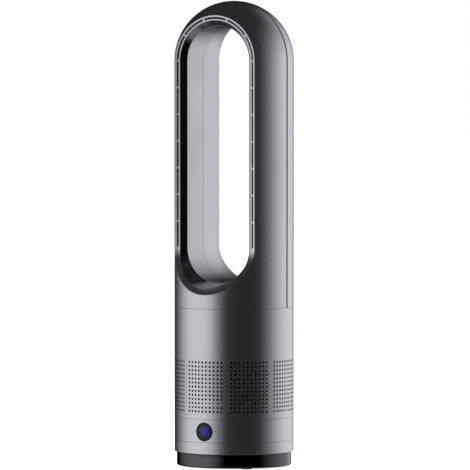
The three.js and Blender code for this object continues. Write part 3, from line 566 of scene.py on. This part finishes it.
# ------------------------------------------------------------------ intake shell with all its holes
def hole_columns():
    """Angles of the lattice lines round the shell, in degrees, and where the patches' cells start."""
    angles = []
    cells = []
    half_patch = HOLE_COLUMNS * HOLE_TURN / 2
    for patch in range(PATCHES):
        facing = 360 / PATCHES * patch
        for i in range(2 * HOLE_COLUMNS + 1):
            if i % 2 == 0 and i < 2 * HOLE_COLUMNS:
                cells.append(len(angles))
            angles.append(facing - half_patch + i * HOLE_TURN / 2)
        angles.append(facing + 180 / PATCHES)
    return angles, cells


def hole_rows():
    first = FIRST_HOLE_Z - HOLE_PITCH / 2
    heights = [GRILLE_BOTTOM + SEAM_EDGE]
    cells = []
    for i in range(2 * HOLE_ROWS + 1):
        if i % 2 == 0 and i < 2 * HOLE_ROWS:
            cells.append(len(heights))
        heights.append(first + i * HOLE_PITCH / 2)
    top = GRILLE_TOP - SEAM_EDGE
    last = heights[-1]
    heights += [last + (top - last) * i / 6 for i in range(1, 7)]
    return heights, cells


def intake_skin():
    """The perforated shell: a lattice of small faces, with a round hole in each cell of the patches."""
    angles, hole_starts = hole_columns()
    heights, row_starts = hole_rows()
    columns = len(angles)
    outer_r, inner_r = COLUMN_R, COLUMN_R - SKIN
    verts, index, faces = [], {}, []

    def corner(key, radius, degrees, height):
        if key not in index:
            index[key] = len(verts)
            angle = math.radians(degrees)
            verts.append((radius * math.sin(angle), -radius * math.cos(angle), height))
        return index[key]

    def lattice(side, i, j):
        radius = outer_r if side == "out" else inner_r
        return corner((side, i % columns, j), radius, angles[i % columns], heights[j])

    holed = {(i + a, j + b) for i in hole_starts for j in row_starts for a in (0, 1) for b in (0, 1)}
    for i in range(columns):
        for j in range(len(heights) - 1):
            if (i, j) in holed:
                continue
            for side in ("out", "in"):
                quad = [lattice(side, i, j), lattice(side, i + 1, j)]
                quad += [lattice(side, i + 1, j + 1), lattice(side, i, j + 1)]
                faces.append(quad if side == "out" else quad[::-1])
    around = [(0, 0), (1, 0), (2, 0), (2, 1), (2, 2), (1, 2), (0, 2), (0, 1)]
    for i in hole_starts:
        for j in row_starts:
            add_hole(lattice, corner, faces, (i, j), around, angles, heights)
    close_edge(verts, faces, lattice, columns, 0, GRILLE_BOTTOM, angles)
    close_edge(verts, faces, lattice, columns, len(heights) - 1, GRILLE_TOP, angles)
    obj = new_object("intake_skin", verts, faces)
    face_outward(obj)
    shade_as_column(obj)
    return obj


def add_hole(lattice, corner, faces, cell, around, angles, heights):
    """One cell of the lattice: faces from its border to a round hole, and the hole's wall."""
    i, j = cell
    middle_angle, middle_height = angles[i + 1], heights[j + 1]
    rims = {}
    for side, radius in (("out", COLUMN_R), ("in", COLUMN_R - SKIN)):
        rim = []
        for k, (a, b) in enumerate(around):
            direction = math.atan2(b - 1, a - 1)
            turn = math.degrees(HOLE_R * math.cos(direction) / COLUMN_R)
            height = middle_height + HOLE_R * math.sin(direction)
            rim.append(corner((side, "hole", i, j, k), radius, middle_angle + turn, height))
        rims[side] = rim
        border = [lattice(side, i + a, j + b) for a, b in around]
        for k in range(HOLE_SIDES):
            m = (k + 1) % HOLE_SIDES
            quad = [border[k], border[m], rim[m], rim[k]]
            faces.append(quad if side == "out" else quad[::-1])
    for k in range(HOLE_SIDES):
        m = (k + 1) % HOLE_SIDES
        faces.append([rims["out"][k], rims["out"][m], rims["in"][m], rims["in"][k]])


def close_edge(verts, faces, lattice, columns, row, height, angles):
    """The small rounding and the end face at the lower or upper edge of the shell."""
    start = len(verts)
    for radius in (COLUMN_R - SEAM_EDGE, COLUMN_R - SKIN):
        for degrees in angles:
            angle = math.radians(degrees)
            verts.append((radius * math.sin(angle), -radius * math.cos(angle), height))
    for i in range(columns):
        k = (i + 1) % columns
        faces.append([lattice("out", i, row), lattice("out", k, row), start + k, start + i])
        faces.append([start + i, start + k, start + columns + k, start + columns + i])
        inner_edge = [lattice("in", k, row), lattice("in", i, row)]
        faces.append([start + columns + i, start + columns + k] + inner_edge)


# ------------------------------------------------------------------ lower shells, plinth and button
def shell_profile(bottom, top):
    """Section of a plain round shell with small roundings at both ends."""
    edge, inside = SEAM_EDGE, COLUMN_R - SKIN
    steps = 12
    rise = top - bottom - 2 * edge
    outer = [(COLUMN_R, bottom + edge + rise * i / steps) for i in range(steps + 1)]
    lead = [(inside, bottom), (COLUMN_R - edge, bottom)]
    return lead + outer + [(COLUMN_R - edge, top), (inside, top)]


def control_skin():
    shell = lathe("control_skin", shell_profile(BAND_BOTTOM, BAND_TOP))
    hole_r = LENS_R + LENS_GROWTH + LENS_GAP
    boolean(shell, bar_along_y("hole", hole_r, -2 * COLUMN_R, -COLUMN_R / 2, LENS_Z))
    shade_as_column(shell)
    return shell


def ring_skin():
    ring = lathe("ring_skin", shell_profile(RING_BOTTOM, RING_TOP))
    shade_as_column(ring)
    return ring


def rounded(radius, bottom, corner, steps=10):
    """An outer lower corner of the plinth, as a quarter circle."""
    points = []
    for i in range(steps + 1):
        angle = (math.pi / 2) * i / steps
        across, up = corner * math.sin(angle), corner * (1 - math.cos(angle))
        points.append((radius - corner + across, bottom + up))
    return points


def pocket_space():
    """The room of the pocket, from the jack out through the back of the plinth."""
    lowest = (-POCKET_HALF, POCKET_BACK, POCKET_Z - POCKET_RISE)
    return block("pocket", lowest, (POCKET_HALF, 2 * PLINTH_R, POCKET_Z + POCKET_RISE))


def plinth_skin():
    inside, ceiling = PLINTH_R - SKIN, PLINTH_TOP - SKIN
    profile = [(PLINTH_R - PLINTH_CORNER - 0.4, PLINTH_BOTTOM)]
    profile += rounded(PLINTH_R, PLINTH_BOTTOM, PLINTH_CORNER)
    profile += [(PLINTH_R, PLINTH_TOP - 0.5), (PLINTH_R - 0.15, PLINTH_TOP - 0.15)]
    profile += [(PLINTH_R - 0.5, PLINTH_TOP), (PLINTH_INSIDE, PLINTH_TOP)]
    profile += [(PLINTH_INSIDE, ceiling), (inside, ceiling), (inside, PLINTH_SKIRT)]
    plinth = lathe("plinth_skin", profile)
    boolean(plinth, pocket_space())
    shade(plinth, 30)
    return plinth


def inlet_walls():
    """The tray of the pocket behind the plinth's rear opening."""
    wall, roof, snout = 1.4, 0.8, 5.2
    tray = block(
        "inlet_walls",
        (-POCKET_HALF - wall, POCKET_BACK - wall, POCKET_Z - POCKET_RISE - wall),
        (POCKET_HALF + wall, PLINTH_R - SKIN, POCKET_Z + POCKET_RISE + roof),
    )
    boolean(tray, pocket_space())
    boolean(tray, bar_along_y("snout", snout, 0, PLINTH_R, POCKET_Z, 48))
    shade(tray, 30)
    return tray


def lens_skin():
    """The round black lens: it follows the shell and is slightly crowned, with a soft edge."""
    radius = LENS_R + LENS_GROWTH
    shares = [i / 12 for i in range(1, 12)] + [0.955, 0.985]
    sunk = [(share, LENS_CROWN * share ** 2) for share in shares]
    sunk += [(1.0, LENS_CROWN + LENS_EDGE), (1.0, LENS_SIDE)]
    verts, rings = [(0, -COLUMN_R, LENS_Z)], [[0]]
    for share, sink in sunk:
        rings.append(list(range(len(verts), len(verts) + BAR)))
        for i in range(BAR):
            angle = 2 * math.pi * i / BAR
            x, z = radius * share * math.cos(angle), LENS_Z + radius * share * math.sin(angle)
            verts.append((x, -math.sqrt(COLUMN_R ** 2 - x * x) + sink, z))
    faces = []
    for a, b in zip(rings, rings[1:]):
        for i in range(BAR):
            j = (i + 1) % BAR
            faces.append((a[0], b[i], b[j]) if len(a) == 1 else (a[i], b[i], b[j], a[j]))
    faces.append(tuple(reversed(rings[-1])))
    obj = new_object("lens_skin", verts, faces)
    face_outward(obj)
    shade(obj, 40)
    return obj


def bezel_skin():
    """The dark collar round the lens, which stays behind the shell."""
    front, back = -(COLUMN_R - SKIN - 0.3), high("button_bezel", Y)
    collar = bar_along_y("bezel_skin", LENS_R + COLLAR_WALL, front, back, LENS_Z)
    boolean(collar, bar_along_y("bore", LENS_R + COLLAR_GAP, 2 * front, 0, LENS_Z))
    shade(collar, 40)
    return collar


def foot_skin(name, node):
    """A rubber foot with a soft lower edge and a shallow round dimple in its face."""
    x = (low(node, X) + high(node, X)) / 2
    y = (low(node, Y) + high(node, Y)) / 2
    radius, top = (high(node, X) - low(node, X)) / 2, high(node, Z)
    profile = [(0, 0.25), (2.4, 0.25), (2.6, 0), (radius - 1.2, 0)]
    profile += [(radius - 0.35, 0.25), (radius, 0.8), (radius, top), (0, top)]
    foot = lathe(name, profile, 64)
    foot.data.transform(Matrix.Translation((x * MM, y * MM, 0)))
    shade(foot, 40)
    return foot


def case_screw(name, angle, distance):
    """A cross-head case screw, sunk in a well of the base plate, seen from below."""
    z = low("base_plate", Z)
    outline = [(0, 0.15), (1.6, 0.15), (2.3, 0.5), (2.4, 1.2), (0, 1.2)]
    head = lathe(name, [(radius, z + rise) for radius, rise in outline], 40)
    for turn in (0, math.pi / 2):
        slot = block("slot", (-1.3, -0.28, z - 1), (1.3, 0.28, z + 0.8))
        slot.data.transform(Matrix.Rotation(turn, 4, "Z"))
        boolean(head, slot)
    shift = Vector((distance * math.cos(angle), distance * math.sin(angle), 0)) * MM
    head.data.transform(Matrix.Translation(shift))
    shade(head, 30)
    return head


# ------------------------------------------------------------------ materials
def new_material(name):
    mat = bpy.data.materials.new(name)
    mat.use_nodes = True
    shader = mat.node_tree.nodes["Principled BSDF"]
    return mat, mat.node_tree, shader


def add(tree, kind, **settings):
    node = tree.nodes.new(kind)
    for key, value in settings.items():
        if key in node.inputs.keys():
            node.inputs[key].default_value = value
        else:
            setattr(node, key, value)
    return node


def noise(tree, scale):
    """Noise in object space, in metres, so a grain keeps its size."""
    place = add(tree, "ShaderNodeTexCoord")
    texture = add(tree, "ShaderNodeTexNoise", Scale=scale, Detail=2.0)
    tree.links.new(place.outputs["Object"], texture.inputs["Vector"])
    return texture.outputs["Fac"]


def spread(tree, value, low_value, high_value):
    """Stretches noise over a range of values."""
    node = add(tree, "ShaderNodeMapRange")
    node.inputs["From Min"].default_value = 0.3
    node.inputs["From Max"].default_value = 0.7
    node.inputs["To Min"].default_value = low_value
    node.inputs["To Max"].default_value = high_value
    tree.links.new(value, node.inputs["Value"])
    return node.outputs["Result"]


def vary_colour(tree, value, dark, light):
    ramp = add(tree, "ShaderNodeMix", data_type="RGBA")
    ramp.inputs["A"].default_value = (*dark, 1)
    ramp.inputs["B"].default_value = (*light, 1)
    tree.links.new(value, ramp.inputs["Factor"])
    return ramp.outputs["Result"]


def bump(tree, value, strength, distance):
    node = add(tree, "ShaderNodeBump", Strength=strength, Distance=distance)
    tree.links.new(value, node.inputs["Height"])
    return node.outputs["Normal"]


def surface(name, colour, roughness, metallic, change, grain, relief=0.0):
    """A finish with a fine grain in its colour and roughness, and optionally a relief of that grain."""
    mat, tree, shader = new_material(name)
    cloud = noise(tree, grain)
    broad = noise(tree, 14.0)
    dark = tuple(c * (1 - change) for c in colour)
    light = tuple(min(1.0, c * (1 + change)) for c in colour)
    tree.links.new(vary_colour(tree, cloud, dark, light), shader.inputs["Base Color"])
    low_rough, high_rough = roughness
    tree.links.new(spread(tree, broad, low_rough, high_rough), shader.inputs["Roughness"])
    shader.inputs["Metallic"].default_value = metallic
    if relief:
        tree.links.new(bump(tree, cloud, 0.3, relief), shader.inputs["Normal"])
    return mat


GUNMETAL = (0.56, 0.577, 0.61)
# painted shade: the lining colour is the lacquer drawn slightly darker for the inner walls of the opening;
# its higher roughness is a real, duller finish
LINING_PAINTED_SHADE = (0.535, 0.552, 0.585)
# painted shade: the chamfer's colour is the lacquer drawn about half as bright, standing in for the shade
# the chamfer shows; only its lower roughness is a real polish
CHAMFER_PAINTED_SHADE = (0.3, 0.31, 0.33)


def make_materials():
    return {
        "shell_metallic": surface("metallic_lacquer", GUNMETAL, (0.26, 0.3), 0.965, 0.02, 2600),
        "polished_chamfer_painted_shade": surface("polished_metallic_painted_shade", CHAMFER_PAINTED_SHADE, (0.14, 0.18), 0.985, 0.02, 2600),
        "opening_lining_painted_shade": surface("metallic_lining_painted_shade", LINING_PAINTED_SHADE, (0.33, 0.37), 0.965, 0.02, 2600),
        "plinth_gloss": surface("dark_gloss", (0.088, 0.091, 0.098), (0.035, 0.05), 1.0, 0.02, 1500),
        "dark_trim": surface("dark_satin", (0.36, 0.375, 0.395), (0.3, 0.36), 1.0, 0.04, 1800),
        "black_plastic": surface("black_moulding", (0.025, 0.025, 0.027), (0.45, 0.6), 0.0, 0.1, 1200, 1e-5),
        "grey_plastic": surface("grey_moulding", (0.1, 0.103, 0.107), (0.45, 0.55), 0.0, 0.06, 900, 1e-5),
        "white_plastic": surface("white_moulding", (0.72, 0.72, 0.7), (0.35, 0.5), 0.0, 0.03, 700, 1e-5),
        "rubber": surface("black_rubber", (0.018, 0.018, 0.018), (0.75, 0.9), 0.0, 0.2, 1600, 4e-5),
        "steel": surface("machined_steel", (0.55, 0.56, 0.57), (0.22, 0.38), 1.0, 0.08, 500, 2e-6),
        "aluminium": surface("plain_aluminium", (0.7, 0.71, 0.72), (0.3, 0.45), 1.0, 0.06, 600, 2e-6),
        "copper": surface("enamelled_copper", (0.5, 0.25, 0.12), (0.25, 0.4), 1.0, 0.15, 800, 1e-5),
        "board": surface("circuit_board", (0.03, 0.16, 0.07), (0.35, 0.5), 0.0, 0.15, 400, 1e-5),
    }


MATERIALS = make_materials()


def lens_material():
    """Black gloss, lit from behind by a soft blue glow."""
    mat, tree, shader = new_material("lens_gloss")
    cloud = noise(tree, 60.0)
    colour = vary_colour(tree, cloud, (0.006, 0.006, 0.008), (0.012, 0.012, 0.015))
    tree.links.new(colour, shader.inputs["Base Color"])
    tree.links.new(spread(tree, cloud, 0.03, 0.06), shader.inputs["Roughness"])
    place = add(tree, "ShaderNodeTexCoord")
    flatten = add(tree, "ShaderNodeMapping", Location=(0, 0, -LENS_Z * MM), Scale=(1, 0, 1))
    tree.links.new(place.outputs["Object"], flatten.inputs["Vector"])
    distance = add(tree, "ShaderNodeVectorMath", operation="LENGTH")
    tree.links.new(flatten.outputs["Vector"], distance.inputs[0])
    fall = add(tree, "ShaderNodeMapRange", interpolation_type="SMOOTHSTEP")
    fall.inputs["From Min"].default_value = GLOW_REACH * MM
    fall.inputs["From Max"].default_value = GLOW_FULL * MM
    tree.links.new(distance.outputs["Value"], fall.inputs["Value"])
    shader.inputs["Emission Color"].default_value = (0.003, 0.014, 0.22, 1)
    shader.inputs["Specular IOR Level"].default_value = 0.3
    tree.links.new(fall.outputs["Result"], shader.inputs["Emission Strength"])
    return mat


def glow_material():
    mat = surface("light_guide", (0.45, 0.62, 0.95), (0.35, 0.5), 0.0, 0.04, 500)
    mat.node_tree.nodes["Principled BSDF"].inputs["Transmission Weight"].default_value = 0.4
    return mat


MATERIALS["lens_gloss"] = lens_material()
MATERIALS["glow"] = glow_material()


# ------------------------------------------------------------------ assembly
def darken_inside(piece, radius):
    """Gives the unlacquered inside of a shell its dark moulded finish."""
    piece.data.materials.append(MATERIALS["black_plastic"])
    for poly in piece.data.polygons:
        middle = poly.center
        rise = max(0.0, middle.z - DOME_Z * MM)
        reach = Vector((middle.x, middle.y, rise))
        if reach.length < radius * MM and reach.normalized().dot(poly.normal) < 0.5:
            poly.material_index = 1


def place(piece, body, slot_name, *nodes, finish=None, inside=None):
    """A finished piece rides on a body, takes a finish and stands for the solids that it replaces."""
    sides = [poly.material_index for poly in piece.data.polygons]
    piece.data.materials.clear()
    piece.data.materials.append(MATERIALS[finish or slot_name])
    if max(sides):
        # the chamfer's faces take the darker lacquer, a painted shade
        piece.data.materials.append(MATERIALS["polished_chamfer_painted_shade"])
        piece.data.polygons.foreach_set("material_index", sides)
    if inside:
        darken_inside(piece, inside)
    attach(piece, body)
    if nodes:
        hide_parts(*nodes)
    return piece


place(head_front_skin(), "tower", "shell_metallic", "head_front_shell")
place(head_rear_skin(), "tower", "shell_metallic", "head_rear_shell")
place(groove_strip(), "tower", "dark_trim", "seam_strip")
LENGTHS = ("top", "bottom", "left", "right")
place(outlet_band(), "tower", "shell_metallic", *[f"outlet_bezel_{part}" for part in LENGTHS])
liner_nodes = [f"front_liner_{part}" for part in LENGTHS]
# the inner walls take the slightly darker lacquer, a painted shade of the opening
place(front_throat(), "tower", "shell_metallic", *liner_nodes, finish="opening_lining_painted_shade")
place(rear_throat(), "tower", "shell_metallic", "rear_liner", finish="opening_lining_painted_shade")
place(intake_skin(), "tower", "shell_metallic", "intake_grille", inside=COLUMN_R - SKIN / 4)
place(control_skin(), "tower", "shell_metallic", "control_band")
place(ring_skin(), "tower", "shell_metallic", "bottom_ring")
place(bezel_skin(), "tower", "dark_trim", "button_bezel", finish="black_plastic")
place(lens_skin(), "power_button", "lens_gloss", "button_lens")
place(plinth_skin(), "base", "plinth_gloss", "base_plinth")
place(inlet_walls(), "base", "plinth_gloss", finish="black_plastic")
for number in range(1, 5):
    node = f"rubber_foot_{number}"
    place(foot_skin(f"foot_pad_{number}", node), "base", "rubber", node)
for number, degrees in enumerate((0, 90, 180, 270), 1):
    screw = case_screw(f"case_screw_{number}", math.radians(degrees), SCREW_CIRCLE)
    place(screw, "base", "steel")

SHOWN_NODES = {
    "black_plastic": ["base_plate", "power_jack", "partition_plate", "motor_bucket", "motor_cap",
                      "tact_switch", "ir_receiver", "bellmouth", "impeller_duct", "duct_support_ring"],
    "grey_plastic": ["turntable", "diffuser", "head_collar", "impeller"],
    "white_plastic": ["fixed_gear", "slide_ring", "drive_pinion"],
    "rubber": ["duct_mount", "duct_gasket"],
    "steel": ["base_weight", "pivot_post", "retaining_ring", "motor_shaft", "motor_rotor",
              "impeller_nut", "lower_bearing", "upper_bearing"],
    "aluminium": ["oscillation_motor", "heat_sink"],
    "copper": ["motor_stator"],
    "board": ["control_board", "driver_board"],
    "glow": ["button_light_guide", "status_led"],
}
for finish, names in SHOWN_NODES.items():
    for name in names:
        for slot in NODES[name].material_slots:
            slot.material = MATERIALS[finish]


# ------------------------------------------------------------------ camera
AZIMUTH, ELEVATION = math.radians(30), math.radians(2.5)
DISTANCE = 8.0
FIELD = 0.6308             # width of the view at the tower's axis, in metres
AIM_HEIGHT = 0.3099        # where the view's middle lies, in metres
AIM_SIDE = 0.0012


def add_camera():
    data = bpy.data.cameras.new("camera")
    data.sensor_width = 36
    data.lens = 36 * DISTANCE / FIELD
    data.clip_end = 60
    camera = link_new("camera", data)
    side = Vector((math.cos(AZIMUTH), math.sin(AZIMUTH), 0))
    toward = Vector((math.sin(AZIMUTH), -math.cos(AZIMUTH), 0))
    aim = side * AIM_SIDE + Vector((0, 0, AIM_HEIGHT))
    away = toward * math.cos(ELEVATION) + Vector((0, 0, math.sin(ELEVATION)))
    camera.location = aim + DISTANCE * away
    camera.rotation_euler = (aim - camera.location).to_track_quat("-Z", "Y").to_euler()
    bpy.context.scene.camera = camera


add_camera()


# ------------------------------------------------------------------ studio
MATT_LEVEL = 0.35          # the white room's light on matt surfaces
FLOOR_GLOW = 0.85          # what the camera sees of the floor beyond its own light


def studio_world():
    """A white room for the camera and for gloss, and a plain soft level for everything matt."""
    world = bpy.data.worlds.new("studio")
    bpy.context.scene.world = world
    world.use_nodes = True
    tree = world.node_tree
    tree.nodes.clear()
    white = add(tree, "ShaderNodeBackground", Color=(1, 1, 1, 1), Strength=1.0)
    soft = add(tree, "ShaderNodeBackground", Color=(1, 1, 1, 1), Strength=MATT_LEVEL)
    light = add(tree, "ShaderNodeLightPath")
    most = add(tree, "ShaderNodeMath", operation="MAXIMUM")
    bright = add(tree, "ShaderNodeMath", operation="MAXIMUM")
    mixed = add(tree, "ShaderNodeMixShader")
    output = add(tree, "ShaderNodeOutputWorld")
    tree.links.new(light.outputs["Is Camera Ray"], most.inputs[0])
    tree.links.new(light.outputs["Is Glossy Ray"], most.inputs[1])
    tree.links.new(light.outputs["Is Transmission Ray"], bright.inputs[1])
    tree.links.new(most.outputs[0], bright.inputs[0])
    tree.links.new(bright.outputs[0], mixed.inputs[0])
    tree.links.new(soft.outputs[0], mixed.inputs[1])
    tree.links.new(white.outputs[0], mixed.inputs[2])
    tree.links.new(mixed.outputs[0], output.inputs[0])


def floor():
    """A plain white floor that still takes the part's shadow."""
    reach = 6000
    obj = block("floor", (-reach, -reach, -20), (reach, reach, 0))
    mat = bpy.data.materials.new("floor")
    mat.use_nodes = True
    tree = mat.node_tree
    shader = tree.nodes["Principled BSDF"]
    shader.inputs["Base Color"].default_value = (0.86, 0.86, 0.86, 1)
    shader.inputs["Roughness"].default_value = 0.9
    shader.inputs["Specular IOR Level"].default_value = 0.0
    shader.inputs["Emission Color"].default_value = (1, 1, 1, 1)
    light = add(tree, "ShaderNodeLightPath")
    glow = add(tree, "ShaderNodeMath", operation="MULTIPLY")
    glow.inputs[1].default_value = FLOOR_GLOW
    tree.links.new(light.outputs["Is Camera Ray"], glow.inputs[0])
    tree.links.new(glow.outputs[0], shader.inputs["Emission Strength"])
    obj.data.materials.append(mat)
    obj.visible_glossy = False


def flag_material():
    """Black cloth whose edges fade out, so that its reflection has a soft border."""
    mat = bpy.data.materials.new("black_flag")
    mat.use_nodes = True
    tree = mat.node_tree
    tree.nodes.clear()
    black = add(tree, "ShaderNodeEmission", Color=(0.0, 0.0, 0.0, 1), Strength=0.0)
    clear = add(tree, "ShaderNodeBsdfTransparent")
    mixed = add(tree, "ShaderNodeMixShader")
    output = add(tree, "ShaderNodeOutputMaterial")
    share = add(tree, "ShaderNodeAttribute", attribute_name="cover")
    tree.links.new(share.outputs["Fac"], mixed.inputs[0])
    tree.links.new(clear.outputs[0], mixed.inputs[1])
    tree.links.new(black.outputs[0], mixed.inputs[2])
    tree.links.new(mixed.outputs[0], output.inputs[0])
    return mat


def direction(beta_degrees):
    """A level direction, as an angle to the right of the camera seen from the part."""
    beta = math.radians(beta_degrees)
    toward = Vector((math.sin(AZIMUTH), -math.cos(AZIMUTH), 0))
    side = Vector((math.cos(AZIMUTH), math.sin(AZIMUTH), 0))
    return toward * math.cos(beta) + side * math.sin(beta)


# The tent's two soft openings, a narrow one on the left and a wide one on the right. Each has the angles
# to the right of the camera at which it starts, is fully open, starts to close and is closed, and then
# the same for its elevations.
OPENINGS = (
    ((-150, -84, -60, -16), (-44, -14, 0, 22)),
    ((46, 122, 144, 168), (-44, -14, 4, 60)),
)
FLOOR_LIGHT = 0.4          # what the tent lets through from the floor, far below
FLOOR_FADE = (-54, -38)    # elevations between which that light fades
TENT_R = 2500.0
TENT_MIDDLE = Vector((0, 0, 300))


def opened(value, start, full, closing, closed):
    """How open an opening is here, from 0 to 1."""
    return smooth(value, start, full) * (1 - smooth(value, closing, closed))


def tent_cover(beta, elevation):
    """How much the tent covers in a direction, from 0 to 1."""
    amount = FLOOR_LIGHT * (1 - smooth(elevation, *FLOOR_FADE))
    for angles, heights in OPENINGS:
        amount = max(amount, opened(beta, *angles) * opened(elevation, *heights))
    return 1 - amount


def tent():
    """A round black tent with two tall soft-edged openings, which only the gloss of the part sees."""
    turn_step, rise_step = 1.5, 3
    verts, faces, shares = [], [], []
    turns = [-180 + turn_step * i for i in range(int(360 / turn_step))]
    rises = list(range(-90, 91, rise_step))
    for beta in turns:
        level = direction(beta)
        for elevation in rises:
            up = math.radians(elevation)
            spot = (level * math.cos(up) + Vector((0, 0, math.sin(up)))) * TENT_R
            verts.append(spot + TENT_MIDDLE)
            shares.append(tent_cover(beta, elevation))
    rows = len(rises)
    for i in range(len(turns)):
        for j in range(rows - 1):
            near, far = i * rows + j, (i + 1) % len(turns) * rows + j
            faces.append((near, far, far + 1, near + 1))
    obj = new_object("black_tent", verts, faces)
    attribute = obj.data.attributes.new("cover", "FLOAT", "POINT")
    for i, share in enumerate(shares):
        attribute.data[i].value = share
    obj.data.materials.append(flag_material())
    obj.data.shade_smooth()
    for kind in ("visible_camera", "visible_diffuse", "visible_shadow", "visible_transmission"):
        setattr(obj, kind, False)


def lamp(name, beta, elevation, distance, size, energy):
    """A large soft lamp that lights matt surfaces and casts the shadow, and isn't seen in the gloss."""
    data = bpy.data.lights.new(name, "AREA")
    data.shape = "DISK"
    data.size = size
    data.energy = energy
    obj = link_new(name, data)
    up = math.radians(elevation)
    obj.location = (direction(beta) * math.cos(up) + Vector((0, 0, math.sin(up)))) * distance
    target = Vector((0, 0, 0.25))
    obj.rotation_euler = (target - obj.location).to_track_quat("-Z", "Y").to_euler()
    obj.visible_glossy = False
    obj.visible_camera = False


studio_world()
floor()
tent()
lamp("key", -60, 50, 3.0, 2.4, 60)
lamp("fill", 70, 35, 3.0, 2.4, 30)

bpy.context.scene.view_settings.view_transform = "Standard"
